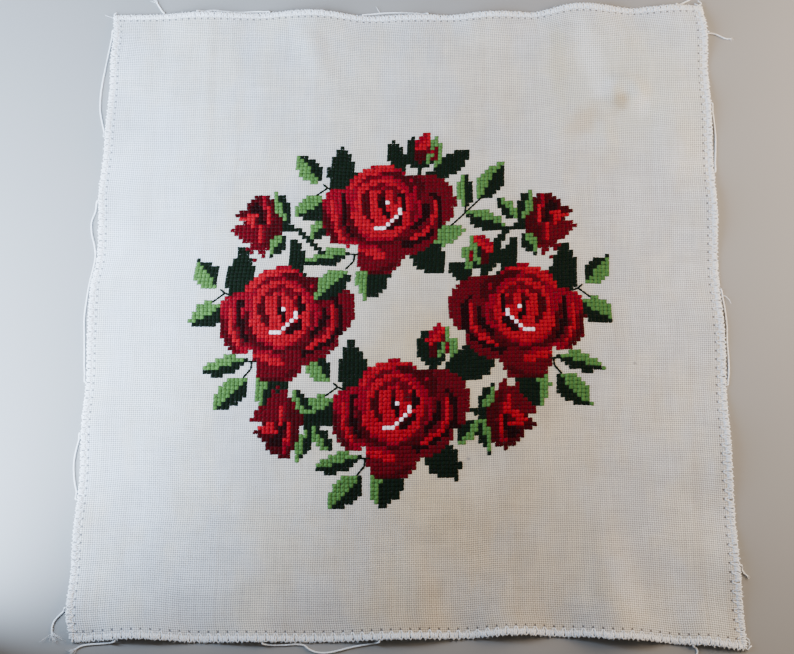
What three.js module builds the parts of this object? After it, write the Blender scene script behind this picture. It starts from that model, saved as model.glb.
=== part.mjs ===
// Embroidered panel: a nearly square piece of evenweave cloth, lying face up on a flat
// surface, with its raw edges overcast in white thread. The slack in that thread stands
// out round the edges in loops, and its cut ends are the short tails.
//
// Millimetres. X runs along the width and Y along the length, away from the near edge.
// +Z is up, and the origin is on the flat underside, in the middle of the cloth.

import * as THREE from "three";

// Driving dimensions
const CLOTH_WIDTH = 310;
const CLOTH_LENGTH = 326;
const CLOTH_THICKNESS = 1;
const THREAD_DIAMETER = 0.7;
const THREAD_SIDES = 8;
const THREAD_STEP = 4;
const TAIL_STEP = 2.5;
const SEAT_GAP = 0.35;

// The thread lies on the surface that the cloth lies on, a hair above it.
const LYING_HEIGHT = THREAD_DIAMETER / 2 + 0.05;

// It comes out of the rim square to the edge for this far, before it swings round.
const STRAIGHT_START = 0.5;

// Grid of the cloth: cells across and along, drawn together towards the edges.
const CELLS_ACROSS = 38;
const CELLS_ALONG = 40;
const EDGE_CROWDING = 0.35;

const HALF_WIDTH = CLOTH_WIDTH / 2;
const HALF_LENGTH = CLOTH_LENGTH / 2;

// How far each edge stands out from the nominal rectangle, at places along it.
const OUTLINE = {
  left: [
    { at: -163, out: -1.2 },
    { at: -150, out: 0.7 },
    { at: -125, out: 0.3 },
    { at: -97, out: -0.6 },
    { at: -61, out: 0.1 },
    { at: -38, out: -0.1 },
    { at: -16, out: 0.5 },
    { at: 9, out: 1.1 },
    { at: 27, out: -1 },
    { at: 45, out: -0.8 },
    { at: 62, out: 0.5 },
    { at: 87, out: -1.1 },
    { at: 134, out: -0.9 },
    { at: 150, out: -1.5 },
    { at: 163, out: -0.2 },
  ],
  right: [
    { at: -163, out: -1 },
    { at: -139, out: -1.8 },
    { at: -85, out: -1.8 },
    { at: -56, out: -1.5 },
    { at: -17, out: -0.1 },
    { at: 13, out: -0.6 },
    { at: 56, out: 1 },
    { at: 112, out: 2.1 },
    { at: 148, out: 3 },
    { at: 163, out: 1.8 },
  ],
  top: [
    { at: -155, out: -1 },
    { at: -109, out: -0.4 },
    { at: -51, out: 0.2 },
    { at: -19, out: -1.9 },
    { at: 23, out: -1.3 },
    { at: 63, out: 0.5 },
    { at: 90, out: 3.6 },
    { at: 116, out: 3 },
    { at: 155, out: 4 },
  ],
  bottom: [
    { at: -155, out: -0.6 },
    { at: -126, out: -2 },
    { at: -94, out: -0.7 },
    { at: -49, out: -0.7 },
    { at: 19, out: -2.1 },
    { at: 53, out: -3.8 },
    { at: 76, out: -3 },
    { at: 99, out: -1.6 },
    { at: 133, out: 0.6 },
    { at: 155, out: 2.7 },
  ],
};

// Where the overcasting has stretched an edge, it ripples: each row is one lifted wave,
// with its half length along the edge, how far in it reaches, and its rise at the rim.
const EDGE_WAVES = [
  { side: "left", at: 142, span: 22, reach: 34, rise: 2.6 },
  { side: "left", at: 92, span: 26, reach: 38, rise: 3.2 },
  { side: "left", at: 49, span: 20, reach: 36, rise: 2.2 },
  { side: "left", at: -10, span: 27, reach: 34, rise: 2.6 },
  { side: "left", at: -62, span: 20, reach: 28, rise: 1.8 },
  { side: "left", at: -108, span: 24, reach: 34, rise: 3.4 },
  { side: "left", at: -148, span: 18, reach: 30, rise: 2.4 },
  { side: "top", at: -106, span: 26, reach: 30, rise: 2.4 },
  { side: "top", at: -50, span: 30, reach: 44, rise: 3.4 },
  { side: "top", at: 2, span: 22, reach: 26, rise: 1.6 },
  { side: "top", at: 42, span: 24, reach: 34, rise: 2.8 },
  { side: "top", at: 92, span: 28, reach: 40, rise: 4.4 },
  { side: "top", at: 138, span: 20, reach: 34, rise: 2.4 },
  { side: "right", at: 148, span: 20, reach: 32, rise: 2.8 },
  { side: "right", at: 104, span: 24, reach: 34, rise: 2 },
  { side: "right", at: 48, span: 28, reach: 34, rise: 2.6 },
  { side: "right", at: -12, span: 24, reach: 30, rise: 1.4 },
  { side: "right", at: -72, span: 30, reach: 36, rise: 2.8 },
  { side: "right", at: -128, span: 24, reach: 34, rise: 2.2 },
  { side: "bottom", at: -122, span: 26, reach: 32, rise: 2.8 },
  { side: "bottom", at: -70, span: 24, reach: 30, rise: 1.8 },
  { side: "bottom", at: -4, span: 30, reach: 42, rise: 3.2 },
  { side: "bottom", at: 47, span: 20, reach: 32, rise: 3.4 },
  { side: "bottom", at: 96, span: 26, reach: 52, rise: 5.2 },
  { side: "bottom", at: 140, span: 18, reach: 30, rise: 2 },
];

// Soft ridges inside the edges. Heading is the way a ridge runs, in degrees from +X, and
// length and breadth are its half sizes.
const RIDGES = [
  { x: -49, y: 138, heading: 118, length: 26, breadth: 10, rise: 1.2 },
  { x: -140, y: 40, heading: 76, length: 34, breadth: 12, rise: 0.9 },
  { x: -146, y: -60, heading: 92, length: 42, breadth: 12, rise: 0.8 },
  { x: 5, y: -136, heading: 104, length: 28, breadth: 10, rise: 1 },
  { x: 95, y: -132, heading: 96, length: 36, breadth: 14, rise: 1.8 },
  { x: 84, y: 96, heading: 40, length: 20, breadth: 7, rise: 0.8 },
  { x: 101, y: 92, heading: 98, length: 22, breadth: 6, rise: 0.7 },
  { x: 134, y: 88, heading: 84, length: 44, breadth: 16, rise: 1.2 },
];

// A round dimple near the far right corner: a low ring with a dent inside it.
const DIMPLE = { x: 112, y: 114, radius: 13, rise: 1.4 };

// The slack thread. A row is one length of it: the edge that it comes out of, the places
// along that edge where it starts and ends, and between them how far out it lies. An end
// that is null is a cut one, at the last place of the swing.
const LOOSE_THREADS = [
  {
    name: "thread_loop_top_left",
    side: "top",
    start: -111,
    end: -73,
    swing: [
      { at: -107, off: 1.9 },
      { at: -103, off: 2.5 },
      { at: -98, off: 1.9 },
      { at: -93, off: 1.3 },
      { at: -87, off: 1.1 },
      { at: -81, off: 1.4 },
      { at: -76, off: 1.3 },
    ],
  },
  {
    name: "thread_loop_top_middle",
    side: "top",
    start: -24,
    end: 10.5,
    swing: [
      { at: -20, off: 1.5 },
      { at: -16, off: 2 },
      { at: -10, off: 2.4 },
      { at: -4, off: 2.4 },
      { at: 2, off: 2 },
      { at: 7.5, off: 1.5 },
    ],
  },
  {
    name: "thread_loop_left_far",
    side: "left",
    start: 153,
    end: 90.5,
    swing: [
      { at: 149.5, off: 1.5 },
      { at: 144, off: 2 },
      { at: 137, off: 2.5 },
      { at: 130, off: 3.3 },
      { at: 122, off: 4.2 },
      { at: 113, off: 4.6 },
      { at: 106, off: 4.2 },
      { at: 100, off: 2.9 },
      { at: 94.5, off: 1.5 },
    ],
  },
  {
    name: "thread_loop_left_middle",
    side: "left",
    start: 55,
    end: -39.5,
    swing: [
      { at: 50, off: 2.3 },
      { at: 44, off: 4.1 },
      { at: 38, off: 3.6 },
      { at: 32, off: 2.1 },
      { at: 26, off: 1.1 },
      { at: 19, off: 0.9 },
      { at: 12, off: 1 },
      { at: 6, off: 1.5 },
      { at: 0, off: 2.1 },
      { at: -7, off: 2.6 },
      { at: -15, off: 2.2 },
      { at: -23, off: 1.7 },
      { at: -31, off: 1.5 },
      { at: -36, off: 1.1 },
    ],
  },
  {
    name: "thread_loop_left_near",
    side: "left",
    start: -65.5,
    end: -97.5,
    swing: [
      { at: -68.5, off: 1.4 },
      { at: -73, off: 2.4 },
      { at: -79, off: 3.2 },
      { at: -84, off: 3.1 },
      { at: -89, off: 2.4 },
      { at: -93.5, off: 1.3 },
    ],
  },
  {
    name: "thread_loop_right_far",
    side: "right",
    start: 106.5,
    end: 69,
    swing: [
      { at: 102.5, off: 1.3 },
      { at: 95.5, off: 1.8 },
      { at: 88.5, off: 2.1 },
      { at: 81.5, off: 1.8 },
      { at: 74.5, off: 1.3 },
    ],
  },
  {
    name: "thread_loop_right_middle",
    side: "right",
    start: 7,
    end: -41,
    swing: [
      { at: 2.5, off: 1.3 },
      { at: -4, off: 1.8 },
      { at: -11.5, off: 1.9 },
      { at: -19, off: 1.4 },
      { at: -27, off: 1.6 },
      { at: -34, off: 1.7 },
      { at: -38, off: 1.3 },
    ],
  },
  {
    name: "thread_loop_bottom",
    side: "bottom",
    start: -66.5,
    end: -13,
    swing: [
      { at: -62.5, off: 1.4 },
      { at: -57, off: 1.4 },
      { at: -51, off: 1.1 },
      { at: -47.5, off: 1.6 },
      { at: -45, off: 3.4 },
      { at: -41.5, off: 4.7 },
      { at: -36.5, off: 4.9 },
      { at: -31.5, off: 4 },
      { at: -26, off: 2.8 },
      { at: -20, off: 1.9 },
      { at: -15.5, off: 1.3 },
    ],
  },
  {
    name: "thread_tail_top_left",
    side: "top",
    start: -128.5,
    end: null,
    swing: [
      { at: -129.5, off: 1.9 },
      { at: -131.3, off: 4.8 },
      { at: -133.2, off: 8 },
    ],
  },
  {
    name: "thread_tail_top_right",
    side: "top",
    start: 141.5,
    end: null,
    swing: [
      { at: 143.7, off: 1.7 },
      { at: 147, off: 3.4 },
      { at: 150, off: 5 },
      { at: 152.5, off: 6.4 },
    ],
  },
  {
    name: "thread_tail_right_far",
    side: "right",
    start: 147,
    end: null,
    swing: [
      { at: 147.6, off: 1.7 },
      { at: 147.4, off: 4.2 },
      { at: 146, off: 7.5 },
      { at: 144.6, off: 10.2 },
      { at: 144.4, off: 12.6 },
    ],
  },
  {
    name: "thread_tail_right_near",
    side: "right",
    start: -126,
    end: null,
    swing: [
      { at: -127.6, off: 1.4 },
      { at: -129.4, off: 2.4 },
      { at: -130.6, off: 3.8 },
    ],
  },
  {
    name: "thread_tail_bottom_right",
    side: "bottom",
    start: 130.5,
    end: null,
    swing: [
      { at: 131.8, off: 1.4 },
      { at: 132.4, off: 2.8 },
      { at: 131.9, off: 4.4 },
    ],
  },
  {
    name: "thread_tail_bottom_left",
    side: "bottom",
    start: -134,
    end: null,
    swing: [
      { at: -137, off: 1.3 },
      { at: -141.5, off: 1.4 },
      { at: -146, off: 1.4 },
      { at: -149.6, off: 1.9 },
      { at: -152.6, off: 3.4 },
    ],
  },
  {
    name: "thread_tail_left_near",
    side: "left",
    start: -147.8,
    end: null,
    swing: [
      { at: -149.2, off: 1.9 },
      { at: -151.6, off: 4.3 },
      { at: -154, off: 6.4 },
      { at: -156.8, off: 7.6 },
      { at: -159.6, off: 8 },
    ],
  },
];

// Reads a table of { at, out } rows, with an easy curve from each row to the next.
function readTable(rows, at) {
  const next = rows.findIndex((row) => row.at > at);
  if (next === 0) return rows[0].out;
  if (next < 0) return rows[rows.length - 1].out;
  const before = rows[next - 1];
  const after = rows[next];
  const share = (at - before.at) / (after.at - before.at);
  const eased = (1 - Math.cos(Math.PI * share)) / 2;
  return before.out + (after.out - before.out) * eased;
}

// Moves a point of the nominal rectangle to its place in the real outline.
function placeInOutline(x, y) {
  const rightShare = 0.5 + x / CLOTH_WIDTH;
  const topShare = 0.5 + y / CLOTH_LENGTH;
  const left = -readTable(OUTLINE.left, y) * (1 - rightShare);
  const right = readTable(OUTLINE.right, y) * rightShare;
  const bottom = -readTable(OUTLINE.bottom, x) * (1 - topShare);
  const top = readTable(OUTLINE.top, x) * topShare;
  return { x: x + left + right, y: y + bottom + top };
}

// A smooth hump: 1 in the middle, 0 and level from a distance of 1 outwards.
function hump(distance) {
  if (Math.abs(distance) >= 1) return 0;
  return (1 - distance * distance) ** 2;
}

// The distance in from an edge, and the place along it, of a point in the rectangle.
function fromEdge(side, x, y) {
  if (side === "left") return { inward: HALF_WIDTH + x, along: y };
  if (side === "right") return { inward: HALF_WIDTH - x, along: y };
  if (side === "top") return { inward: HALF_LENGTH - y, along: x };
  return { inward: HALF_LENGTH + y, along: x };
}

function waveHeight(wave, x, y) {
  const { inward, along } = fromEdge(wave.side, x, y);
  if (inward >= wave.reach) return 0;
  const curl = (1 - inward / wave.reach) ** 2;
  return wave.rise * curl * hump((along - wave.at) / wave.span);
}

function ridgeHeight(ridge, x, y) {
  const turn = THREE.MathUtils.degToRad(ridge.heading);
  const dx = x - ridge.x;
  const dy = y - ridge.y;
  const along = (dx * Math.cos(turn) + dy * Math.sin(turn)) / ridge.length;
  const across = (dy * Math.cos(turn) - dx * Math.sin(turn)) / ridge.breadth;
  return ridge.rise * hump(Math.hypot(along, across));
}

function dimpleHeight(x, y) {
  const distance = Math.hypot(x - DIMPLE.x, y - DIMPLE.y) / DIMPLE.radius;
  const ring = hump((distance - 0.5) * 2);
  return DIMPLE.rise * ring;
}

// Height of the underside, which is exactly 0 wherever nothing lifts it.
function undersideHeight(x, y) {
  const waves = EDGE_WAVES.reduce((sum, wave) => sum + waveHeight(wave, x, y), 0);
  const ridges = RIDGES.reduce((sum, ridge) => sum + ridgeHeight(ridge, x, y), 0);
  return waves + ridges + dimpleHeight(x, y);
}

// Grid lines from -1 to 1, closer together near both ends.
function gridLines(cells) {
  const lines = [];
  for (let i = 0; i <= cells; i += 1) {
    const even = (2 * i) / cells - 1;
    lines.push(even * (1 - EDGE_CROWDING) + Math.sin((even * Math.PI) / 2) * EDGE_CROWDING);
  }
  return lines;
}

// One closed sheet: an underside, a face CLOTH_THICKNESS above it, and the rim.
function clothGeometry() {
  const across = gridLines(CELLS_ACROSS);
  const along = gridLines(CELLS_ALONG);
  const columns = across.length;
  const layer = columns * along.length;
  const positions = [];
  for (const lift of [0, CLOTH_THICKNESS]) {
    for (const v of along) {
      for (const u of across) {
        const x = u * HALF_WIDTH;
        const y = v * HALF_LENGTH;
        const place = placeInOutline(x, y);
        positions.push(place.x, place.y, undersideHeight(x, y) + lift);
      }
    }
  }
  const indices = [];
  const addQuad = (a, b, c, d) => indices.push(a, b, c, a, c, d);
  for (let row = 0; row < CELLS_ALONG; row += 1) {
    for (let column = 0; column < CELLS_ACROSS; column += 1) {
      const a = row * columns + column;
      const b = a + 1;
      const c = b + columns;
      const d = a + columns;
      addQuad(a, d, c, b);
      addQuad(layer + a, layer + b, layer + c, layer + d);
    }
  }
  const rim = [];
  for (let column = 0; column < CELLS_ACROSS; column += 1) rim.push(column);
  for (let row = 0; row < CELLS_ALONG; row += 1) rim.push(row * columns + CELLS_ACROSS);
  for (let column = CELLS_ACROSS; column > 0; column -= 1) {
    rim.push(CELLS_ALONG * columns + column);
  }
  for (let row = CELLS_ALONG; row > 0; row -= 1) rim.push(row * columns);
  rim.forEach((corner, i) => {
    const next = rim[(i + 1) % rim.length];
    addQuad(corner, next, layer + next, layer + corner);
  });
  const geometry = new THREE.BufferGeometry();
  geometry.setAttribute("position", new THREE.Float32BufferAttribute(positions, 3));
  geometry.setIndex(indices);
  geometry.computeVertexNormals();
  return geometry;
}

// A place on an edge of the nominal rectangle, and the way that faces out from it.
function onEdge(side, at) {
  if (side === "left") return { x: -HALF_WIDTH, y: at, outX: -1, outY: 0 };
  if (side === "right") return { x: HALF_WIDTH, y: at, outX: 1, outY: 0 };
  if (side === "top") return { x: at, y: HALF_LENGTH, outX: 0, outY: 1 };
  return { x: at, y: -HALF_LENGTH, outX: 0, outY: -1 };
}

// A point outside an edge: where along it, how far out, and how high.
function besideEdge(side, at, off, z) {
  const edge = onEdge(side, at);
  const place = placeInOutline(edge.x, edge.y);
  return new THREE.Vector3(place.x + edge.outX * off, place.y + edge.outY * off, z);
}

// The two points where a thread leaves the rim, at half the cloth's thickness.
function rimPoints(side, at) {
  const edge = onEdge(side, at);
  const z = undersideHeight(edge.x, edge.y) + CLOTH_THICKNESS / 2;
  return [
    besideEdge(side, at, SEAT_GAP, z),
    besideEdge(side, at, SEAT_GAP + STRAIGHT_START, z),
  ];
}

// A smooth curve through a thread's points that never dips below its lying height.
class ThreadPath extends THREE.Curve {
  constructor({ side, start, end, swing }) {
    super();
    const lying = swing.map(({ at, off }) => besideEdge(side, at, off, LYING_HEIGHT));
    const route = [...rimPoints(side, start), ...lying];
    if (end !== null) route.push(...rimPoints(side, end).reverse());
    this.smooth = new THREE.CatmullRomCurve3(route, false, "centripetal");
  }

  getPoint(t, target = new THREE.Vector3()) {
    this.smooth.getPoint(t, target);
    target.z = Math.max(target.z, LYING_HEIGHT);
    return target;
  }
}

function threadGeometry(thread) {
  const path = new ThreadPath(thread);
  const step = thread.end === null ? TAIL_STEP : THREAD_STEP;
  const section = new THREE.Shape();
  for (let i = 0; i < THREAD_SIDES; i += 1) {
    const angle = (2 * Math.PI * (i + 0.5)) / THREAD_SIDES;
    const x = (THREAD_DIAMETER / 2) * Math.cos(angle);
    const y = (THREAD_DIAMETER / 2) * Math.sin(angle);
    if (i === 0) section.moveTo(x, y);
    else section.lineTo(x, y);
  }
  section.closePath();
  return new THREE.ExtrudeGeometry(section, {
    steps: Math.max(4, Math.round(path.getLength() / step)),
    extrudePath: path,
  });
}

function namedMesh(name, geometry, material) {
  const mesh = new THREE.Mesh(geometry, material);
  mesh.name = name;
  return mesh;
}

const clothMaterial = new THREE.MeshStandardMaterial({
  color: 0xd9d4cb,
  roughness: 0.92,
  metalness: 0,
});

const group = new THREE.Group();
group.add(namedMesh("ground_cloth", clothGeometry(), clothMaterial));
for (const thread of LOOSE_THREADS) {
  const material = new THREE.MeshStandardMaterial({
    color: 0xeeebe8,
    roughness: 0.7,
    metalness: 0,
  });
  group.add(namedMesh(thread.name, threadGeometry(thread), material));
}

export default group;
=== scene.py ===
import logging
import math
from dataclasses import dataclass, field
from enum import Enum
from typing import Iterator

import bpy
import numpy as np
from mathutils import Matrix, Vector


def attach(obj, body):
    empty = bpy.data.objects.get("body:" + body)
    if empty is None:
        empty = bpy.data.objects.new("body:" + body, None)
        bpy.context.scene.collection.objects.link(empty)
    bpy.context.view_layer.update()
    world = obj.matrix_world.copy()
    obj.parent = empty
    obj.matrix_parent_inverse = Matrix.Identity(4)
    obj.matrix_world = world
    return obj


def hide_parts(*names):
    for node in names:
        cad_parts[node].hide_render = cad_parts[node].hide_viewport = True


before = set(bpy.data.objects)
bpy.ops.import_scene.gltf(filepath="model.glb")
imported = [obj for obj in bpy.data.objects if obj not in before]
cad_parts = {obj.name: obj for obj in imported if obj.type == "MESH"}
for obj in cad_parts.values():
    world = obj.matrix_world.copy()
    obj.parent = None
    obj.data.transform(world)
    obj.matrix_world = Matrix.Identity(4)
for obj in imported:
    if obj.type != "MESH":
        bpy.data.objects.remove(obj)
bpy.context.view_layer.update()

# Nominal lengths are in millimetres, and settle() turns them into metres of the frame.
LOG = logging.getLogger("embroidered_panel")
MM = 0.001
CLOTH_WIDTH = 310.0
CLOTH_LENGTH = 326.0
HALF_WIDTH = CLOTH_WIDTH / 2
HALF_LENGTH = CLOTH_LENGTH / 2
FRAME_THICKNESS = 1.0
CLOTH_THICKNESS = 0.6
FACE_HEIGHT = 0.85
STITCH = 2.0
WREATH_CENTRE = (-2.0, -9.0)

Point = tuple[float, float]
Rgb = tuple[float, float, float]


class Side(Enum):
    """An edge of the cloth."""

    LEFT = "left"
    RIGHT = "right"
    TOP = "top"
    BOTTOM = "bottom"

    def place(self, along: np.ndarray, inward: np.ndarray) -> tuple[np.ndarray, np.ndarray]:
        """Turns places along an edge and distances in from it into nominal x and y.

        Args:
            along: Places along the edge.
            inward: Distances in from the edge, negative outside it.

        Returns:
            The nominal x and y.
        """
        if self is Side.LEFT:
            return inward - HALF_WIDTH, along
        if self is Side.RIGHT:
            return HALF_WIDTH - inward, along
        if self is Side.TOP:
            return along, HALF_LENGTH - inward
        return along, inward - HALF_LENGTH

    def measure(self, x: np.ndarray, y: np.ndarray) -> tuple[np.ndarray, np.ndarray]:
        """Gives the place along this edge and the distance in from it of nominal points.

        Args:
            x: Nominal x of the points.
            y: Nominal y of the points.

        Returns:
            The places along the edge and the distances in from it.
        """
        if self is Side.LEFT:
            return y, HALF_WIDTH + x
        if self is Side.RIGHT:
            return y, HALF_WIDTH - x
        if self is Side.TOP:
            return x, HALF_LENGTH - y
        return x, HALF_LENGTH + y

    def outward(self) -> Point:
        """The way that faces out from the edge."""
        return {
            "left": (-1.0, 0.0), "right": (1.0, 0.0), "top": (0.0, 1.0), "bottom": (0.0, -1.0),
        }[self.value]

    def half(self) -> float:
        """Half the edge's own length."""
        return HALF_LENGTH if self in (Side.LEFT, Side.RIGHT) else HALF_WIDTH


# How far each edge stands out from the nominal rectangle: (at, out).
OUTLINE = {
    Side.LEFT: (
        (-163, -1.2), (-150, 0.7), (-125, 0.3), (-97, -0.6), (-61, 0.1), (-38, -0.1), (-16, 0.5), (9, 1.1),
        (27, -1.0), (45, -0.8), (62, 0.5), (87, -1.1), (134, -0.9), (150, -1.5), (163, -0.2),
    ),
    Side.RIGHT: (
        (-163, -1.0), (-139, -1.8), (-85, -1.8), (-56, -1.5), (-17, -0.1), (13, -0.6), (56, 1.0), (112, 2.1),
        (148, 3.0), (163, 1.8),
    ),
    Side.TOP: (
        (-155, -1.0), (-109, -0.4), (-51, 0.2), (-19, -1.9), (23, -1.3), (63, 0.5), (90, 3.6), (116, 3.0),
        (155, 4.0),
    ),
    Side.BOTTOM: (
        (-155, -0.6), (-126, -2.0), (-94, -0.7), (-49, -0.7), (19, -2.1), (53, -3.8), (76, -3.0), (99, -1.6),
        (133, 0.6), (155, 2.7),
    ),
}


@dataclass(frozen=True)
class EdgeWave:
    """One lifted ripple of an edge that the overcasting has stretched."""

    side: Side
    at: float
    span: float
    reach: float
    rise: float

    def height(self, x: np.ndarray, y: np.ndarray) -> np.ndarray:
        """Height that the ripple gives to nominal points.

        Args:
            x: Nominal x of the points.
            y: Nominal y of the points.

        Returns:
            The heights in millimetres.
        """
        along, inward = self.side.measure(x, y)
        curl = np.clip(1 - inward / self.reach, 0, None) ** 2
        return self.rise * curl * hump((along - self.at) / self.span)


@dataclass(frozen=True)
class Ridge:
    """A soft fold inside the edges. Its length and breadth are half sizes."""

    x: float
    y: float
    heading: float
    length: float
    breadth: float
    rise: float

    def height(self, x: np.ndarray, y: np.ndarray) -> np.ndarray:
        """Height that the fold gives to nominal points.

        Args:
            x: Nominal x of the points.
            y: Nominal y of the points.

        Returns:
            The heights in millimetres.
        """
        turn = math.radians(self.heading)
        dx, dy = x - self.x, y - self.y
        along = (dx * math.cos(turn) + dy * math.sin(turn)) / self.length
        across = (dy * math.cos(turn) - dx * math.sin(turn)) / self.breadth
        return self.rise * hump(np.hypot(along, across))


EDGE_WAVES = (
    EdgeWave(Side.LEFT, 142, 22, 34, 2.6), EdgeWave(Side.LEFT, 92, 26, 38, 3.2),
    EdgeWave(Side.LEFT, 49, 20, 36, 2.2), EdgeWave(Side.LEFT, -10, 27, 34, 2.6),
    EdgeWave(Side.LEFT, -62, 20, 28, 1.8), EdgeWave(Side.LEFT, -108, 24, 34, 3.4),
    EdgeWave(Side.LEFT, -148, 18, 30, 2.4), EdgeWave(Side.TOP, -106, 26, 30, 2.4),
    EdgeWave(Side.TOP, -50, 30, 44, 3.4), EdgeWave(Side.TOP, 2, 22, 26, 1.6),
    EdgeWave(Side.TOP, 42, 24, 34, 2.8), EdgeWave(Side.TOP, 92, 28, 40, 4.4),
    EdgeWave(Side.TOP, 138, 20, 34, 2.4), EdgeWave(Side.RIGHT, 148, 20, 32, 2.8),
    EdgeWave(Side.RIGHT, 104, 24, 34, 2.0), EdgeWave(Side.RIGHT, 48, 28, 34, 2.6),
    EdgeWave(Side.RIGHT, -12, 24, 30, 1.4), EdgeWave(Side.RIGHT, -72, 30, 36, 2.8),
    EdgeWave(Side.RIGHT, -128, 24, 34, 2.2), EdgeWave(Side.BOTTOM, -122, 26, 32, 2.8),
    EdgeWave(Side.BOTTOM, -70, 24, 30, 1.8), EdgeWave(Side.BOTTOM, -4, 30, 42, 3.2),
    EdgeWave(Side.BOTTOM, 47, 20, 32, 3.4), EdgeWave(Side.BOTTOM, 96, 26, 52, 5.2),
    EdgeWave(Side.BOTTOM, 140, 18, 30, 2.0),
)
RIDGES = (
    Ridge(-49, 138, 118, 26, 10, 1.2), Ridge(-140, 40, 76, 34, 12, 0.9), Ridge(-146, -60, 92, 42, 12, 0.8),
    Ridge(5, -136, 104, 28, 10, 1.0), Ridge(95, -132, 96, 36, 14, 1.8), Ridge(84, 96, 40, 20, 7, 0.8),
    Ridge(101, 92, 98, 22, 6, 0.7), Ridge(134, 88, 84, 44, 16, 1.2),
)

# A low ring with a dent inside it: x, y, radius and rise.
DIMPLE = (112.0, 114.0, 13.0, 1.4)


def hump(distance: np.ndarray) -> np.ndarray:
    """A smooth hump: 1 in the middle, 0 from a distance of 1 outwards."""
    return np.clip(1 - distance * distance, 0, None) ** 2


class ClothForm:
    """The shape in which the cloth lies, which every stitch and thread follows."""

    def outline(self, side: Side, at: np.ndarray) -> np.ndarray:
        """How far an edge stands out, with an easy curve between the rows of its table.

        Args:
            side: The edge.
            at: Places along it.

        Returns:
            The distances out from the nominal edge.
        """
        rows = np.array(OUTLINE[side], dtype=float)
        at = np.clip(at, rows[0, 0], rows[-1, 0])
        after = np.clip(np.searchsorted(rows[:, 0], at, side="right"), 1, len(rows) - 1)
        before = after - 1
        share = (at - rows[before, 0]) / (rows[after, 0] - rows[before, 0])
        eased = (1 - np.cos(np.pi * share)) / 2
        return rows[before, 1] + (rows[after, 1] - rows[before, 1]) * eased

    def place(self, x: np.ndarray, y: np.ndarray) -> tuple[np.ndarray, np.ndarray]:
        """Moves points of the nominal rectangle to their places in the real outline.

        Args:
            x: Nominal x of the points.
            y: Nominal y of the points.

        Returns:
            The real x and y.
        """
        right, top = 0.5 + x / CLOTH_WIDTH, 0.5 + y / CLOTH_LENGTH
        across = self.outline(Side.RIGHT, y) * right - self.outline(Side.LEFT, y) * (1 - right)
        along = self.outline(Side.TOP, x) * top - self.outline(Side.BOTTOM, x) * (1 - top)
        return x + across, y + along

    def underside(self, x: np.ndarray, y: np.ndarray) -> np.ndarray:
        """Height of the cloth's underside in the frame.

        Args:
            x: Nominal x of the points.
            y: Nominal y of the points.

        Returns:
            The heights in millimetres, 0 where nothing lifts the cloth.
        """
        height = sum(wave.height(x, y) for wave in EDGE_WAVES)
        height = height + sum(ridge.height(x, y) for ridge in RIDGES)
        distance = np.hypot(x - DIMPLE[0], y - DIMPLE[1]) / DIMPLE[2]
        return height + DIMPLE[3] * hump((distance - 0.5) * 2)

    def settle(self, points: np.ndarray) -> np.ndarray:
        """Lays nominal points on the cloth.

        Args:
            points: Rows of nominal x, nominal y and height above the cloth's face.

        Returns:
            Rows of x, y and z in metres.
        """
        x, y = self.place(points[..., 0], points[..., 1])
        z = self.underside(points[..., 0], points[..., 1]) + FACE_HEIGHT + points[..., 2]
        return np.stack([x, y, z], axis=-1) * MM


def select_only(obj: bpy.types.Object) -> None:
    """Makes an object the only one selected, and the active one."""
    bpy.ops.object.select_all(action="DESELECT")
    obj.select_set(True)
    bpy.context.view_layer.objects.active = obj


def vertex_places(mesh: bpy.types.Mesh) -> np.ndarray:
    """The places of a mesh's vertices, as rows of x, y and z."""
    places = np.empty(len(mesh.vertices) * 3)
    mesh.vertices.foreach_get("co", places)
    return places.reshape(-1, 3)


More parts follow.
